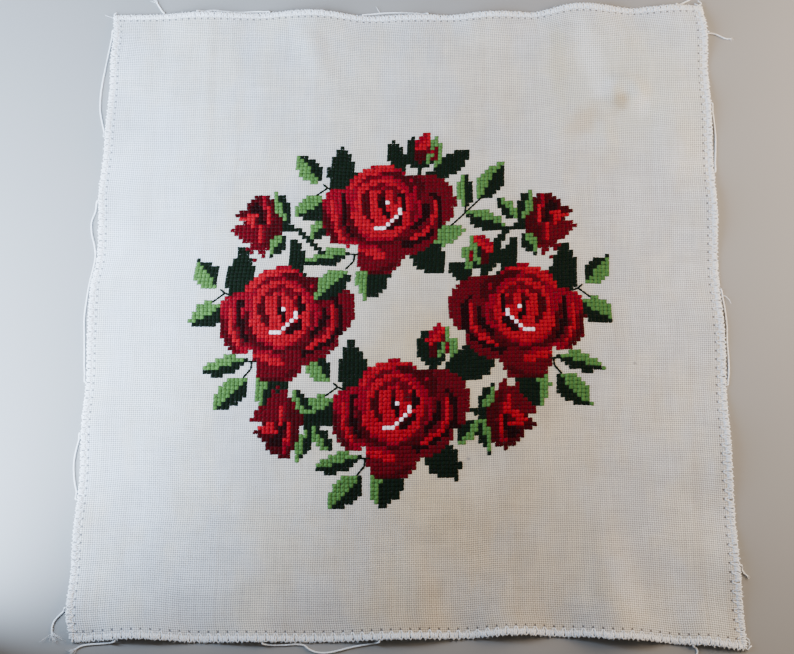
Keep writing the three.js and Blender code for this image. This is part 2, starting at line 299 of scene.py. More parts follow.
@dataclass
class Shape:
    """A small modelled shape, or many of them, as plain rows that can be repeated.

    Its corners are vertex numbers, face after face, starts is where each face begins
    among them, and chart holds two pattern coordinates for each corner.
    """

    points: np.ndarray
    corners: np.ndarray
    starts: np.ndarray
    chart: np.ndarray
    dye: np.ndarray

    @classmethod
    def joined(cls, shapes: list["Shape"]) -> "Shape":
        """Puts several shapes in one.

        Args:
            shapes: The shapes.

        Returns:
            One shape that holds them all.
        """
        point_shift = np.cumsum([0] + [len(shape.points) for shape in shapes[:-1]])
        corner_shift = np.cumsum([0] + [len(shape.corners) for shape in shapes[:-1]])
        return cls(
            np.concatenate([shape.points for shape in shapes]),
            np.concatenate([shape.corners + shift for shape, shift in zip(shapes, point_shift)]),
            np.concatenate([shape.starts + shift for shape, shift in zip(shapes, corner_shift)]),
            np.concatenate([shape.chart for shape in shapes]),
            np.concatenate([shape.dye for shape in shapes]),
        )

    def repeated(self, points: np.ndarray, dye: np.ndarray) -> "Shape":
        """Repeats this shape's faces over many sets of points.

        Args:
            points: For each copy, its points, in this shape's order.
            dye: For each copy, its shade from 0 to 1.

        Returns:
            One shape that holds all the copies.
        """
        copies, count = points.shape[:2]
        order = np.arange(copies)[:, None]
        return Shape(
            points.reshape(-1, 3),
            (self.corners[None, :] + order * count).ravel(),
            (self.starts[None, :] + order * len(self.corners)).ravel(),
            np.tile(self.chart, (copies, 1)),
            np.repeat(dye, count),
        )

    def make(self, name: str, material: bpy.types.Material) -> bpy.types.Object:
        """Makes a smooth object of the shape.

        Args:
            name: Name of the piece.
            material: Its finish.

        Returns:
            The new object, which rides on the panel.
        """
        mesh = bpy.data.meshes.new(name)
        mesh.vertices.add(len(self.points))
        mesh.vertices.foreach_set("co", self.points.astype(np.float32).ravel())
        mesh.loops.add(len(self.corners))
        mesh.polygons.add(len(self.starts))
        mesh.polygons.foreach_set("loop_start", self.starts.astype(np.int32))
        mesh.loops.foreach_set("vertex_index", self.corners.astype(np.int32))
        mesh.polygons.foreach_set("use_smooth", np.ones(len(self.starts), dtype=bool))
        mesh.update(calc_edges=True)
        layer = mesh.uv_layers.new(name="Thread")
        layer.data.foreach_set("uv", self.chart.astype(np.float32).ravel())
        shade = mesh.attributes.new("dye", "FLOAT", "POINT")
        shade.data.foreach_set("value", self.dye.astype(np.float32))
        mesh.materials.append(material)
        piece = bpy.data.objects.new(name, mesh)
        bpy.context.scene.collection.objects.link(piece)
        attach(piece, "root")
        return piece


def model_strand(name: str, section: tuple[Point, ...], stations: int) -> Shape:
    """Models one straight stretch of thread by extruding its section, end to end.

    Its points run from x = 0 to 1 along it, and y and z are the section's own.

    Args:
        name: Name for the working mesh.
        section: Corners of the section, in order.
        stations: Number of rings along it, its ends among them.

    Returns:
        The closed shape.
    """
    sides = len(section)
    bpy.ops.object.select_all(action="DESELECT")
    bpy.ops.mesh.primitive_circle_add(vertices=sides, radius=1, fill_type="NGON")
    work = bpy.context.object
    work.name = name
    bpy.ops.object.mode_set(mode="EDIT")
    bpy.ops.mesh.select_all(action="SELECT")
    for _ in range(stations - 1):
        bpy.ops.mesh.extrude_region_move(TRANSFORM_OT_translate={"value": (0, 0, 1)})
    bpy.ops.mesh.select_all(action="SELECT")
    bpy.ops.mesh.normals_make_consistent(inside=False)
    bpy.ops.object.mode_set(mode="OBJECT")
    places = vertex_places(work.data)
    ring = np.rint(places[:, 2]).astype(int)
    angle = np.arctan2(places[:, 1], places[:, 0])
    number = np.rint((angle - math.pi / 2) / (2 * math.pi / sides)).astype(int) % sides
    corners = np.empty(len(work.data.loops), dtype=np.int64)
    work.data.loops.foreach_get("vertex_index", corners)
    starts = np.empty(len(work.data.polygons), dtype=np.int64)
    work.data.polygons.foreach_get("loop_start", starts)
    outline = np.array(section)[number]
    points = np.column_stack([ring / (stations - 1), outline])
    chart = np.column_stack([number / sides, ring / (stations - 1)])[corners]
    worked = work.data
    bpy.data.objects.remove(work)
    bpy.data.meshes.remove(worked)
    return Shape(points, corners, starts, chart, np.zeros(len(points)))


def line_frames(path: np.ndarray) -> tuple[np.ndarray, np.ndarray, np.ndarray]:
    """Carries a frame along a line without twisting it.

    Args:
        path: Rows of x, y and z.

    Returns:
        The way along, across and over at each row.
    """
    along = np.gradient(path, axis=0)
    along /= np.linalg.norm(along, axis=1, keepdims=True) + 1e-12
    up = np.array([0.0, 0.0, 1.0]) if abs(along[0, 2]) < 0.9 else np.array([1.0, 0.0, 0.0])
    across = np.empty_like(path)
    side = np.cross(along[0], up)
    for i, way in enumerate(along):
        side = side - way * float(side @ way)
        side /= np.linalg.norm(side) + 1e-12
        across[i] = side
    return along, across, np.cross(along, across)


def sweep(path: np.ndarray, radius: np.ndarray, sides: int, dye: float = 0.5) -> Shape:
    """Sweeps a round thread along a path, closed at both ends.

    Args:
        path: Rows of x, y and z that its middle follows.
        radius: Its radius at each of them.
        sides: Number of corners of its section.
        dye: Its shade from 0 to 1.

    Returns:
        The swept shape.
    """
    count = len(path)
    _, across, over = line_frames(path)
    angle = 2 * np.pi * np.arange(sides) / sides
    ring = across[:, None] * np.cos(angle)[None, :, None] + over[:, None] * np.sin(angle)[None, :, None]
    points = path[:, None] + ring * np.asarray(radius).reshape(-1, 1, 1)
    corner = np.arange(count * sides).reshape(count, sides)
    turned = np.roll(corner, -1, axis=1)
    quads = np.stack([corner[:-1], turned[:-1], turned[1:], corner[1:]], axis=-1).reshape(-1, 4)
    corners = np.concatenate([quads.ravel(), corner[0, ::-1], corner[-1]])
    starts = np.concatenate([np.arange(len(quads) + 1) * 4, [len(quads) * 4 + sides]])
    length = np.concatenate([[0], np.cumsum(np.linalg.norm(np.diff(path, axis=0), axis=1))]) / MM
    turn = np.tile(np.arange(sides) / sides, count)
    chart = np.column_stack([turn, np.repeat(length, sides)])[corners]
    return Shape(points.reshape(-1, 3), corners, starts, chart, np.full(count * sides, dye))


class Wire:
    """A node's output, or a number, that can be used in plain sums."""

    def __init__(self, bench: "Bench", socket: bpy.types.NodeSocket) -> None:
        """Keeps the socket and the bench that it belongs to."""
        self.bench = bench
        self.socket = socket

    def work(self, operation: str, *others: "Wire | float") -> "Wire":
        """Adds a Math node with this wire as its first value.

        Args:
            operation: The node's operation.
            others: Its other values.

        Returns:
            The result.
        """
        return self.bench.maths(operation, self, *others)

    def __add__(self, other: "Wire | float") -> "Wire":
        """This plus other."""
        return self.work("ADD", other)

    def __sub__(self, other: "Wire | float") -> "Wire":
        """This less other."""
        return self.work("SUBTRACT", other)

    def __rsub__(self, other: float) -> "Wire":
        """Other less this."""
        return self.bench.maths("SUBTRACT", other, self)

    def __mul__(self, other: "Wire | float") -> "Wire":
        """This times other."""
        return self.work("MULTIPLY", other)

    def __truediv__(self, other: "Wire | float") -> "Wire":
        """This over other."""
        return self.work("DIVIDE", other)

    def __pow__(self, other: "Wire | float") -> "Wire":
        """This to the power of other."""
        return self.work("POWER", other)

    __radd__ = __add__
    __rmul__ = __mul__

    def step(self, low: float, high: float) -> "Wire":
        """Eases from 0 at low to 1 at high.

        Args:
            low: Where the rise starts.
            high: Where it ends.

        Returns:
            The eased value.
        """
        settings = {"interpolation_type": "SMOOTHSTEP"}
        sockets = {"Value": self, "From Min": low, "From Max": high}
        return self.bench.add("ShaderNodeMapRange", settings, sockets)["Result"]


class Bench:
    """Builds one material out of nodes."""

    def __init__(self, name: str) -> None:
        """Starts a material with a bare surface shader."""
        self.material = bpy.data.materials.new(name)
        self.material.use_nodes = True
        self.tree = self.material.node_tree
        self.surface = next(node for node in self.tree.nodes if node.type == "BSDF_PRINCIPLED")

    def link(self, value: object, socket: bpy.types.NodeSocket) -> None:
        """Joins a wire to a socket, or sets the socket to a plain value.

        Args:
            value: A wire, a number or some numbers.
            socket: The socket that it feeds.
        """
        if isinstance(value, Wire):
            self.tree.links.new(value.socket, socket)
        elif socket.type == "RGBA" and len(value) == 3:
            socket.default_value = (*value, 1.0)
        else:
            socket.default_value = value

    def add(self, kind: str, settings: dict, sockets: dict) -> dict[str, Wire]:
        """Adds any node.

        Args:
            kind: The node's type.
            settings: Its own settings, which are set first.
            sockets: For input names or numbers, their values or wires.

        Returns:
            Its outputs by name.
        """
        node = self.tree.nodes.new(kind)
        for key, value in settings.items():
            setattr(node, key, value)
        for key, value in sockets.items():
            self.link(value, node.inputs[key])
        return {output.name: Wire(self, output) for output in node.outputs if output.enabled}

    def maths(self, operation: str, *values: "Wire | float") -> Wire:
        """Adds a Math node.

        Args:
            operation: Its operation.
            values: Its values, in order.

        Returns:
            Its result.
        """
        return self.add("ShaderNodeMath", {"operation": operation}, dict(enumerate(values)))["Value"]

    def blend(self, share: "Wire | float", first: object, second: object, how: str = "MIX") -> Wire:
        """Mixes two colours.

        Args:
            share: How much of the second shows.
            first: The first colour.
            second: The second colour.
            how: The way they are mixed.

        Returns:
            The mixed colour.
        """
        settings = {"data_type": "RGBA", "blend_type": how}
        return self.add("ShaderNodeMix", settings, {0: share, 6: first, 7: second})["Result"]

    def tinted(self, colour: object, value: Wire) -> Wire:
        """Multiplies a colour by a value."""
        settings = {"operation": "SCALE"}
        return self.add("ShaderNodeVectorMath", settings, {0: colour, "Scale": value})["Vector"]

    def noise(self, place: Wire, scale: float, detail: float = 2.0, roughness: float = 0.5) -> Wire:
        """Soft noise from 0 to 1.

        Args:
            place: Where it is read.
            scale: How fine it is.
            detail: How many finer layers it has.
            roughness: How strong they are.

        Returns:
            The noise.
        """
        sockets = {"Vector": place, "Scale": scale, "Detail": detail, "Roughness": roughness}
        return self.add("ShaderNodeTexNoise", {"noise_dimensions": "3D"}, sockets)["Fac"]

    def vector(self, x: "Wire | float", y: "Wire | float", z: "Wire | float" = 0.0) -> Wire:
        """Puts three values in one vector."""
        return self.add("ShaderNodeCombineXYZ", {}, {0: x, 1: y, 2: z})["Vector"]

    def charted(self, name: str) -> tuple[Wire, Wire]:
        """The two pattern coordinates of a piece."""
        chart = self.add("ShaderNodeUVMap", {"uv_map": name}, {})["UV"]
        parts = self.add("ShaderNodeSeparateXYZ", {}, {0: chart})
        return parts["X"], parts["Y"]

    def place(self) -> Wire:
        """The place on the piece, in millimetres."""
        place = self.add("ShaderNodeTexCoord", {}, {})["Object"]
        scaled = self.add("ShaderNodeVectorMath", {"operation": "SCALE"}, {0: place, "Scale": 1000.0})
        return scaled["Vector"]

    def dye(self) -> Wire:
        """Each thread's own shade, from 0 to 1."""
        return self.add("ShaderNodeAttribute", {"attribute_name": "dye"}, {})["Fac"]

    def finish(self, colour: object, relief: Wire, depth: float, constants: dict) -> bpy.types.Material:
        """Joins colour and relief to the surface.

        Args:
            colour: The surface's colour.
            relief: The height of its fine relief, from 0 to 1.
            depth: How deep that relief is, in metres.
            constants: Other sockets of the shader that are the same all over, or roughness.

        Returns:
            The finished material.
        """
        self.link(colour, self.surface.inputs["Base Color"])
        for key, value in constants.items():
            self.link(value, self.surface.inputs[key])
        bump = self.add("ShaderNodeBump", {}, {"Strength": 1.0, "Distance": depth, "Height": relief})
        self.link(bump["Normal"], self.surface.inputs["Normal"])
        return self.material


@dataclass(frozen=True)
class ClothPatch:
    """A soft patch of colour on the cloth, such as a stain, a speck, a painted highlight or a painted light:
    its middle, half sizes, heading and colour.
    """

    x: float
    y: float
    length: float
    breadth: float
    heading: float
    colour: Rgb
    strength: float


@dataclass(frozen=True)
class NeedleRow:
    """One row of needle holes along an edge."""

    side: Side
    inward: float
    pitch: float
    phase: float


# Soft patches on the cloth: tan stains, each as if something wet had dried there, broader darker warm
# patches and two dark grey specks, and pale painted highlights along folds and beside the dent, with a broad
# painted cool light on the left side.
STAINS_AND_PAINTED_LIGHT = (
    ClothPatch(110.0, 118.0, 62.0, 50.0, 0, (0.80, 0.79, 0.63), 0.5),
    # Painted cool light on the cloth's left side.
    ClothPatch(-128.0, 20.0, 42.0, 170.0, 0, (0.82, 0.91, 1.0), 0.5),
    # Painted highlight along a fold that runs from the top edge towards the dent.
    ClothPatch(94.0, 134.0, 30.0, 9.0, 104, (0.95, 0.98, 1.0), 0.65),
    # Painted highlights on both sides of the dent.
    ClothPatch(101.0, 116.0, 9.0, 6.0, 40, (0.96, 0.98, 1.0), 0.7),
    ClothPatch(120.0, 107.0, 6.0, 9.0, 0, (0.94, 0.97, 1.0), 0.6),
    ClothPatch(106.0, 109.0, 13.0, 9.0, 110, (0.68, 0.58, 0.42), 0.35),
    ClothPatch(109.0, 108.0, 7.5, 5.5, 60, (0.50, 0.38, 0.21), 0.7),
    ClothPatch(77.0, 133.0, 32.0, 6.0, 92, (0.64, 0.58, 0.40), 0.5),
    ClothPatch(90.0, 97.0, 16.0, 10.0, 40, (0.60, 0.48, 0.32), 0.6),
    # Painted highlight on the ridge of the fold near the bottom edge.
    ClothPatch(101.0, -138.0, 17.0, 7.0, 115, (0.88, 0.90, 0.96), 0.35),
    ClothPatch(-86.0, 96.0, 26.0, 12.0, 30, (0.72, 0.66, 0.55), 0.12),
    ClothPatch(28.0, 14.0, 26.0, 18.0, 120, (0.72, 0.64, 0.52), 0.22),
    ClothPatch(70.0, -110.0, 46.0, 20.0, 70, (0.68, 0.62, 0.52), 0.22),
    ClothPatch(111.0, -32.0, 1.1, 0.9, 0, (0.16, 0.15, 0.15), 0.6),
    ClothPatch(30.0, -79.0, 1.3, 1.0, 0, (0.14, 0.13, 0.14), 0.6),
)


@dataclass(frozen=True)
class EvenweaveFinish:
    """Off-white evenweave, one thread a millimetre, over one and under one."""

    thread: Rgb = (0.92, 0.93, 0.95)
    # Yellowing, and painted shade in the darker middle of the cloth.
    yellowing_and_shade: Rgb = (0.67, 0.51, 0.325)
    cool_cloud: Rgb = (0.84, 0.91, 1.0)
    warm_cloud: Rgb = (0.95, 0.91, 0.78)
    fresh: Rgb = (0.93, 0.95, 0.97)
    # Painted shade in the open gaps between the weave's threads.
    gap: Rgb = (0.11, 0.10, 0.09)
    yellowing_and_shade_middle: Point = (18.0, -45.0)
    yellowing_and_shade_reach: Point = (106.0, 190.0)
    relief: float = 0.00022

    def patched(self, bench: Bench, colour: Wire, across: Wire, along: Wire) -> Wire:
        """Lays the patches over the cloth's colour: stains, specks, painted highlights and painted light.

        Args:
            bench: The bench of the material.
            colour: The clean colour.
            across: Nominal x of the place.
            along: Nominal y of the place.

        Returns:
            The colour with its patches.
        """
        ragged = bench.noise(bench.vector(across, along), 0.16, 3.0) * 0.7
        for patch in STAINS_AND_PAINTED_LIGHT:
            turn = math.radians(patch.heading)
            dx, dy = across - patch.x, along - patch.y
            u = (dx * math.cos(turn) + dy * math.sin(turn)) / patch.length
            v = (dy * math.cos(turn) - dx * math.sin(turn)) / patch.breadth
            distance = (u * u + v * v) ** 0.5 + ragged - 0.35
            share = (1 - distance.step(0.25, 1.1)) * patch.strength
            colour = bench.blend(share, colour, patch.colour)
        return colour

    def aged_and_shaded(self, bench: Bench, across: Wire, along: Wire) -> Wire:
        """The cloth's broad colour, white towards the sides and creamy in the middle, where a darker warm
        tone is partly yellowing and partly painted shade.

        Args:
            bench: The bench of the material.
            across: Nominal x of the place.
            along: Nominal y of the place.

        Returns:
            The colour.
        """
        # A broad patch centred below the cloth's middle turns it darker and warmer: partly yellowing, partly
        # painted shade.
        u = (across - self.yellowing_and_shade_middle[0]) / self.yellowing_and_shade_reach[0]
        v = (along - self.yellowing_and_shade_middle[1]) / self.yellowing_and_shade_reach[1]
        cloud = bench.noise(bench.vector(across, along), 0.02, 2.0)
        share = ((u * u + v * v) * -1.0).work("EXPONENT") * (0.7 + 0.6 * cloud)
        colour = bench.blend(share, self.thread, self.yellowing_and_shade)
        bands = bench.noise(bench.vector(across, along * 0.03, 55.0), 0.11, 2.0, 0.6)
        colour = bench.blend(bands.step(0.48, 0.75) * 0.25, colour, self.yellowing_and_shade)
        drift = bench.noise(bench.vector(across * 1.3, along * 0.8, 12.0), 0.03, 3.0, 0.6)
        cloudy = bench.blend(drift.step(0.38, 0.62), self.cool_cloud, self.warm_cloud)
        colour = bench.blend(0.6, colour, cloudy, "MULTIPLY")
        worn = bench.noise(bench.vector(across, along, 81.0), 0.05, 3.0, 0.6)
        return bench.tinted(colour, 0.87 + 0.13 * worn.step(0.34, 0.66))

    def rim(self, bench: Bench, across: Wire, along: Wire) -> Wire:
        """How much of a place lies in the fluffy band under the overcasting.

        Args:
            bench: The bench of the material.
            across: Nominal x of the place.
            along: Nominal y of the place.

        Returns:
            1 in the band and 0 inside it.
        """
        sideways = HALF_WIDTH - across.work("ABSOLUTE")
        lengthways = HALF_LENGTH - along.work("ABSOLUTE")
        ragged = bench.noise(bench.vector(across, along), 0.5, 2.0)
        return 1 - (sideways.work("MINIMUM", lengthways) + ragged * 1.4).step(2.6, 4.2)

    def holes(self, rows: tuple[NeedleRow, ...], across: Wire, along: Wire) -> Wire:
        """How much of a place lies in a needle hole of the overcasting.

        Args:
            rows: The rows of holes.
            across: Nominal x of the place.
            along: Nominal y of the place.

        Returns:
            1 in a hole and 0 off it.
        """
        total = None
        for row in rows:
            near = {
                Side.LEFT: (along, across + HALF_WIDTH), Side.RIGHT: (along, HALF_WIDTH - across),
                Side.TOP: (across, HALF_LENGTH - along), Side.BOTTOM: (across, along + HALF_LENGTH),
            }[row.side]
            turn = (near[0] - row.phase) / row.pitch + 1000.5
            sideways = (turn.work("FRACT") - 0.5) * row.pitch
            inward = near[1] - row.inward
            hole = 1 - (sideways * sideways + inward * inward * 0.6).step(0.10, 0.36)
            total = hole if total is None else total.work("MAXIMUM", hole)
        return total

    def material(self, rows: tuple[NeedleRow, ...]) -> bpy.types.Material:
        """Makes the cloth's material.

        Args:
            rows: The needle holes of the overcasting.

        Returns:
            The material.
        """
        bench = Bench("evenweave")
        across, along = bench.charted("Thread")
        slow = bench.vector(across, along)
        drift_x = (bench.noise(slow, 0.035, 1.0) - 0.5) * 1.6
        drift_y = (bench.noise(bench.vector(along, across, 7.0), 0.035, 1.0) - 0.5) * 1.6
        warp = across + drift_x
        weft = along + drift_y
        swing_x = (warp * math.pi).work("SINE")
        swing_y = (weft * math.pi).work("SINE")
        over = (swing_x * swing_y).step(-0.3, 0.3)
        body_x = swing_x.work("ABSOLUTE") ** 0.55
        body_y = swing_y.work("ABSOLUTE") ** 0.55
        warp_tone = bench.noise(bench.vector(warp * 0.9, weft * 0.045), 1.0, 3.0, 0.7)
        weft_tone = bench.noise(bench.vector(warp * 0.045, weft * 0.9, 31.0), 1.0, 3.0, 0.7)
        warp_top = body_x * (0.45 + 0.55 * over) * (0.72 + 0.56 * warp_tone)
        weft_top = body_y * (1 - 0.55 * over) * (0.72 + 0.56 * weft_tone)
        relief = warp_top.work("MAXIMUM", weft_top)
        tone = weft_tone + (warp_tone - weft_tone) * over
        painted_gap_shade = 1 - relief.step(0.40, 0.92)
        fuzz = bench.noise(bench.place(), 5.0, 3.0, 0.7)
        rim = self.rim(bench, across, along)
        colour = bench.tinted(self.aged_and_shaded(bench, across, along), 0.76 + 0.42 * tone + 0.06 * fuzz)
        colour = self.patched(bench, colour, across, along)
        # Painted shade: the open gaps between the threads are painted dark.
        colour = bench.blend(painted_gap_shade * 0.92, colour, self.gap)
        colour = bench.blend(rim * 0.6, colour, self.fresh)
        pierced = self.holes(rows, across, along)
        # Painted shade: the needle holes are painted nearly black.
        colour = bench.blend(pierced * 0.85, colour, (0.06, 0.055, 0.06))
        # Painted shade: the cloth under dense stitching is painted nearly black, so the gaps between the
        # stitches look shaded.
        covered = bench.add("ShaderNodeAttribute", {"attribute_name": "covered"}, {})["Fac"]
        colour = bench.blend(covered.step(0.35, 0.85), colour, (0.012, 0.007, 0.007))
        height = (relief + fuzz * 0.16) * (1 - pierced)
        surface = {
            "Roughness": 0.9, "Specular IOR Level": 0.25, "Sheen Weight": 0.15, "Sheen Roughness": 0.6,
        }
        return bench.finish(colour, height, self.relief, surface)


class Floss(Enum):
    """A colour of floss in the wreath: its short name and its colour."""

    BRIGHT = ("bright_red", (0.30, 0.0006, 0.009))
    CRIMSON = ("crimson", (0.18, 0.0005, 0.008))
    DEEP = ("deep_red", (0.085, 0.0005, 0.004))
    MAROON = ("maroon", (0.042, 0.0003, 0.002))
    SHADOW = ("rose_shadow", (0.010, 0.0006, 0.001))
    SHINE = ("rose_light", (0.90, 0.68, 0.70))
    LIGHT_GREEN = ("light_green", (0.064, 0.152, 0.036))
    DARK_GREEN = ("dark_green", (0.0032, 0.0078, 0.0034))

    @property
    def title(self) -> str:
        """The short name."""
        return self.value[0]

    @property
    def slot(self) -> str:
        """The name of the record's slot that goes with the colour."""
        return {
            "bright_red": "floss_red", "crimson": "floss_red", "rose_light": "floss_white",
            "light_green": "floss_green", "dark_green": "floss_dark_green",
        }.get(self.title, "floss_dark_red")


@dataclass(frozen=True)
class FlossFinish:
    """Stranded cotton floss with a soft shine, two strands side by side."""

    floss: Floss
    shine: float = 0.42
    relief: float = 0.00010

    def material(self) -> bpy.types.Material:
        """Makes the floss's material."""
        bench = Bench(f"floss_{self.floss.title}")
        turn, along = bench.charted("Thread")
        dye = bench.dye()
        ply = (turn * 12.0 + along * 16.0).work("SINE")
        fuzz = bench.noise(bench.place(), 4.0, 3.0, 0.7)
        lot = bench.noise(bench.place(), 0.05, 1.0)
        relief = ply * 0.3 + fuzz * 0.5 + 0.4
        # Painted shade: each leg darkens to about a quarter of its colour towards its ends, where it goes
        # into the holes.
        painted_end_shade = (0.5 - (along - 0.5).work("ABSOLUTE")).step(0.0, 0.3)
        tone = (0.66 + dye * 0.34 + fuzz * 0.22 + lot * 0.2 + ply * 0.05) * (0.26 + 0.74 * painted_end_shade)
        colour = bench.tinted((*self.floss.value[1],), tone)
        surface = {"Roughness": self.shine + 0.2 * fuzz, "Specular IOR Level": 0.045}
        return bench.finish(colour, relief, self.relief, surface)


@dataclass(frozen=True)
class SewingThreadFinish:
    """Spun white sewing thread, a little fluffy."""

    colour: Rgb = (0.93, 0.94, 0.96)
    relief: float = 0.00008

    def material(self, name: str) -> bpy.types.Material:
        """Makes the thread's material."""
        bench = Bench(name)
        turn, along = bench.charted("Thread")
        dye = bench.dye()
        ply = (turn * (2 * math.pi) * 3 + along * 4.0).work("SINE") * 0.5 + 0.5
        fuzz = bench.noise(bench.place(), 6.0, 3.0, 0.7)
        colour = bench.tinted(self.colour, 0.84 + dye * 0.1 + fuzz * 0.08 + ply * 0.06)
        surface = {"Roughness": 0.75, "Specular IOR Level": 0.3, "Sheen Weight": 0.3}
        return bench.finish(colour, ply * 0.6 + fuzz * 0.4, self.relief, surface)


@dataclass(frozen=True)
class FloorFinish:
    """A plain pale floor."""

    colour: Rgb = (0.28, 0.27, 0.257)

    def material(self) -> bpy.types.Material:
        """Makes the floor's material."""
        bench = Bench("pale_floor")
        cloud = bench.noise(bench.place(), 0.01, 2.0)
        colour = bench.tinted(self.colour, 0.97 + cloud * 0.06)
        return bench.finish(colour, cloud, 0.00002, {"Roughness": 0.6, "Specular IOR Level": 0.3})


AROUND = ((1, 0), (-1, 0), (0, 1), (0, -1))


@dataclass
class Motif:
    """Part of the chart, drawn by rule in its own place and mirrored as it needs.

    One unit is one cross stitch. cells holds the floss of each charted stitch, and
    stems holds the lines of back stitch, both in the wreath's own places.
    """

    origin: Point
    side: int
    rise: int
    cells: dict[tuple[int, int], Floss]
    stems: list[list[Point]]

    def spot(self, point: Point) -> Point:
        """The wreath's place of a point of this motif."""
        return self.origin[0] + self.side * point[0], self.origin[1] + self.rise * point[1]

    def near(self, middle: Point, reach: float) -> Iterator[tuple[tuple[int, int], float, float]]:
        """Goes through the stitches round a point.

        Args:
            middle: The point.
            reach: How far from it to look.

        Yields:
            A stitch, and its place in this motif.
        """
        x, y = self.spot(middle)
        for i in range(math.floor(x - reach), math.ceil(x + reach) + 1):
            for j in range(math.floor(y - reach), math.ceil(y + reach) + 1):
                yield (i, j), self.side * (i - self.origin[0]), self.rise * (j - self.origin[1])

    def petal(self, x: float, y: float, half_x: float, half_y: float, floss: Floss, turn: float = 0) -> None:
        """Fills an oval.

        Args:
            x: Its middle.
            y: Its middle.
            half_x: Its half width.
            half_y: Its half height.
            floss: Its colour.
            turn: Its turn in degrees.
        """
        cosine, sine = math.cos(math.radians(turn)), math.sin(math.radians(turn))
        for cell, px, py in self.near((x, y), max(half_x, half_y) + 1):
            dx, dy = px - x, py - y
            if math.hypot((dx * cosine + dy * sine) / half_x, (dy * cosine - dx * sine) / half_y) <= 1:
                self.cells[cell] = floss

    def fold(
        self, start: Point, bend: Point, end: Point, width: float, floss: Floss, on: tuple = (),
    ) -> None:
        """Draws a bent line that narrows towards its ends.

        Args:
            start: Where it starts.
            bend: The point that it bends towards.
            end: Where it ends.
            width: Its greatest width.
            floss: Its colour.
            on: The colours that it may cover, or none for all.
        """
        line = []
        for share in np.linspace(0, 1, 41):
            first, second, third = (1 - share) ** 2, 2 * share * (1 - share), share * share
            x = first * start[0] + second * bend[0] + third * end[0]
            y = first * start[1] + second * bend[1] + third * end[1]
            line.append((x, y, max(0.62, width * (0.275 + 0.225 * math.sin(math.pi * share)))))
        reach = max(math.dist(start, bend), math.dist(bend, end)) + width + 1
        for cell, px, py in self.near(bend, reach):
            if on and self.cells.get(cell) not in on:
                continue
            if any(abs(px - x) <= half and math.hypot(px - x, py - y) <= half for x, y, half in line):
                self.cells[cell] = floss

    def leaf(
        self,
        base: Point,
        tip: Point,
        width: float,
        left: Floss,
        right: Floss,
        full: float = 0.45,
        rib: float = 0.0,
        nib: float = 0.0,
    ) -> None:
        """Fills a pointed leaf or petal, in two tones.

        Args:
            base: Its foot.
            tip: Its point.
            width: Its greatest width.
            left: The tone left of its rib, looking from its foot to its tip.
            right: The other tone.
            full: How far along it is widest.
            rib: How far the rib bows to the left.
            nib: How much of its tip is a narrow point.
        """
        length = math.dist(base, tip)
        ux, uy = (tip[0] - base[0]) / length, (tip[1] - base[1]) / length
        middle = ((base[0] + tip[0]) / 2, (base[1] + tip[1]) / 2)
        for cell, px, py in self.near(middle, length / 2 + width / 2 + 1):
            dx, dy = px - base[0], py - base[1]
            along, across = (dx * ux + dy * uy) / length, dy * ux - dx * uy
            if not -0.02 <= along <= 1.02:
                continue
            share = along / full if along < full else (1 - along) / (1 - full)
            half = width / 2 * math.sin(min(1.0, max(0.0, share)) * math.pi / 2) ** 0.7
            if along > 1 - nib:
                half = max(half, 0.75)
            if abs(across) <= max(half, 0.45):
                bow = rib * math.sin(math.pi * along) * width / 2
                self.cells[cell] = left if across > bow else right

    def dots(self, places: tuple[Point, ...], floss: Floss) -> None:
        """Works single stitches."""
        for point in places:
            x, y = self.spot(point)
            self.cells[(math.floor(x + 0.5), math.floor(y + 0.5))] = floss

    def stem(self, *points: Point) -> None:
        """Draws a line of back stitch."""
        self.stems.append([self.spot(point) for point in points])


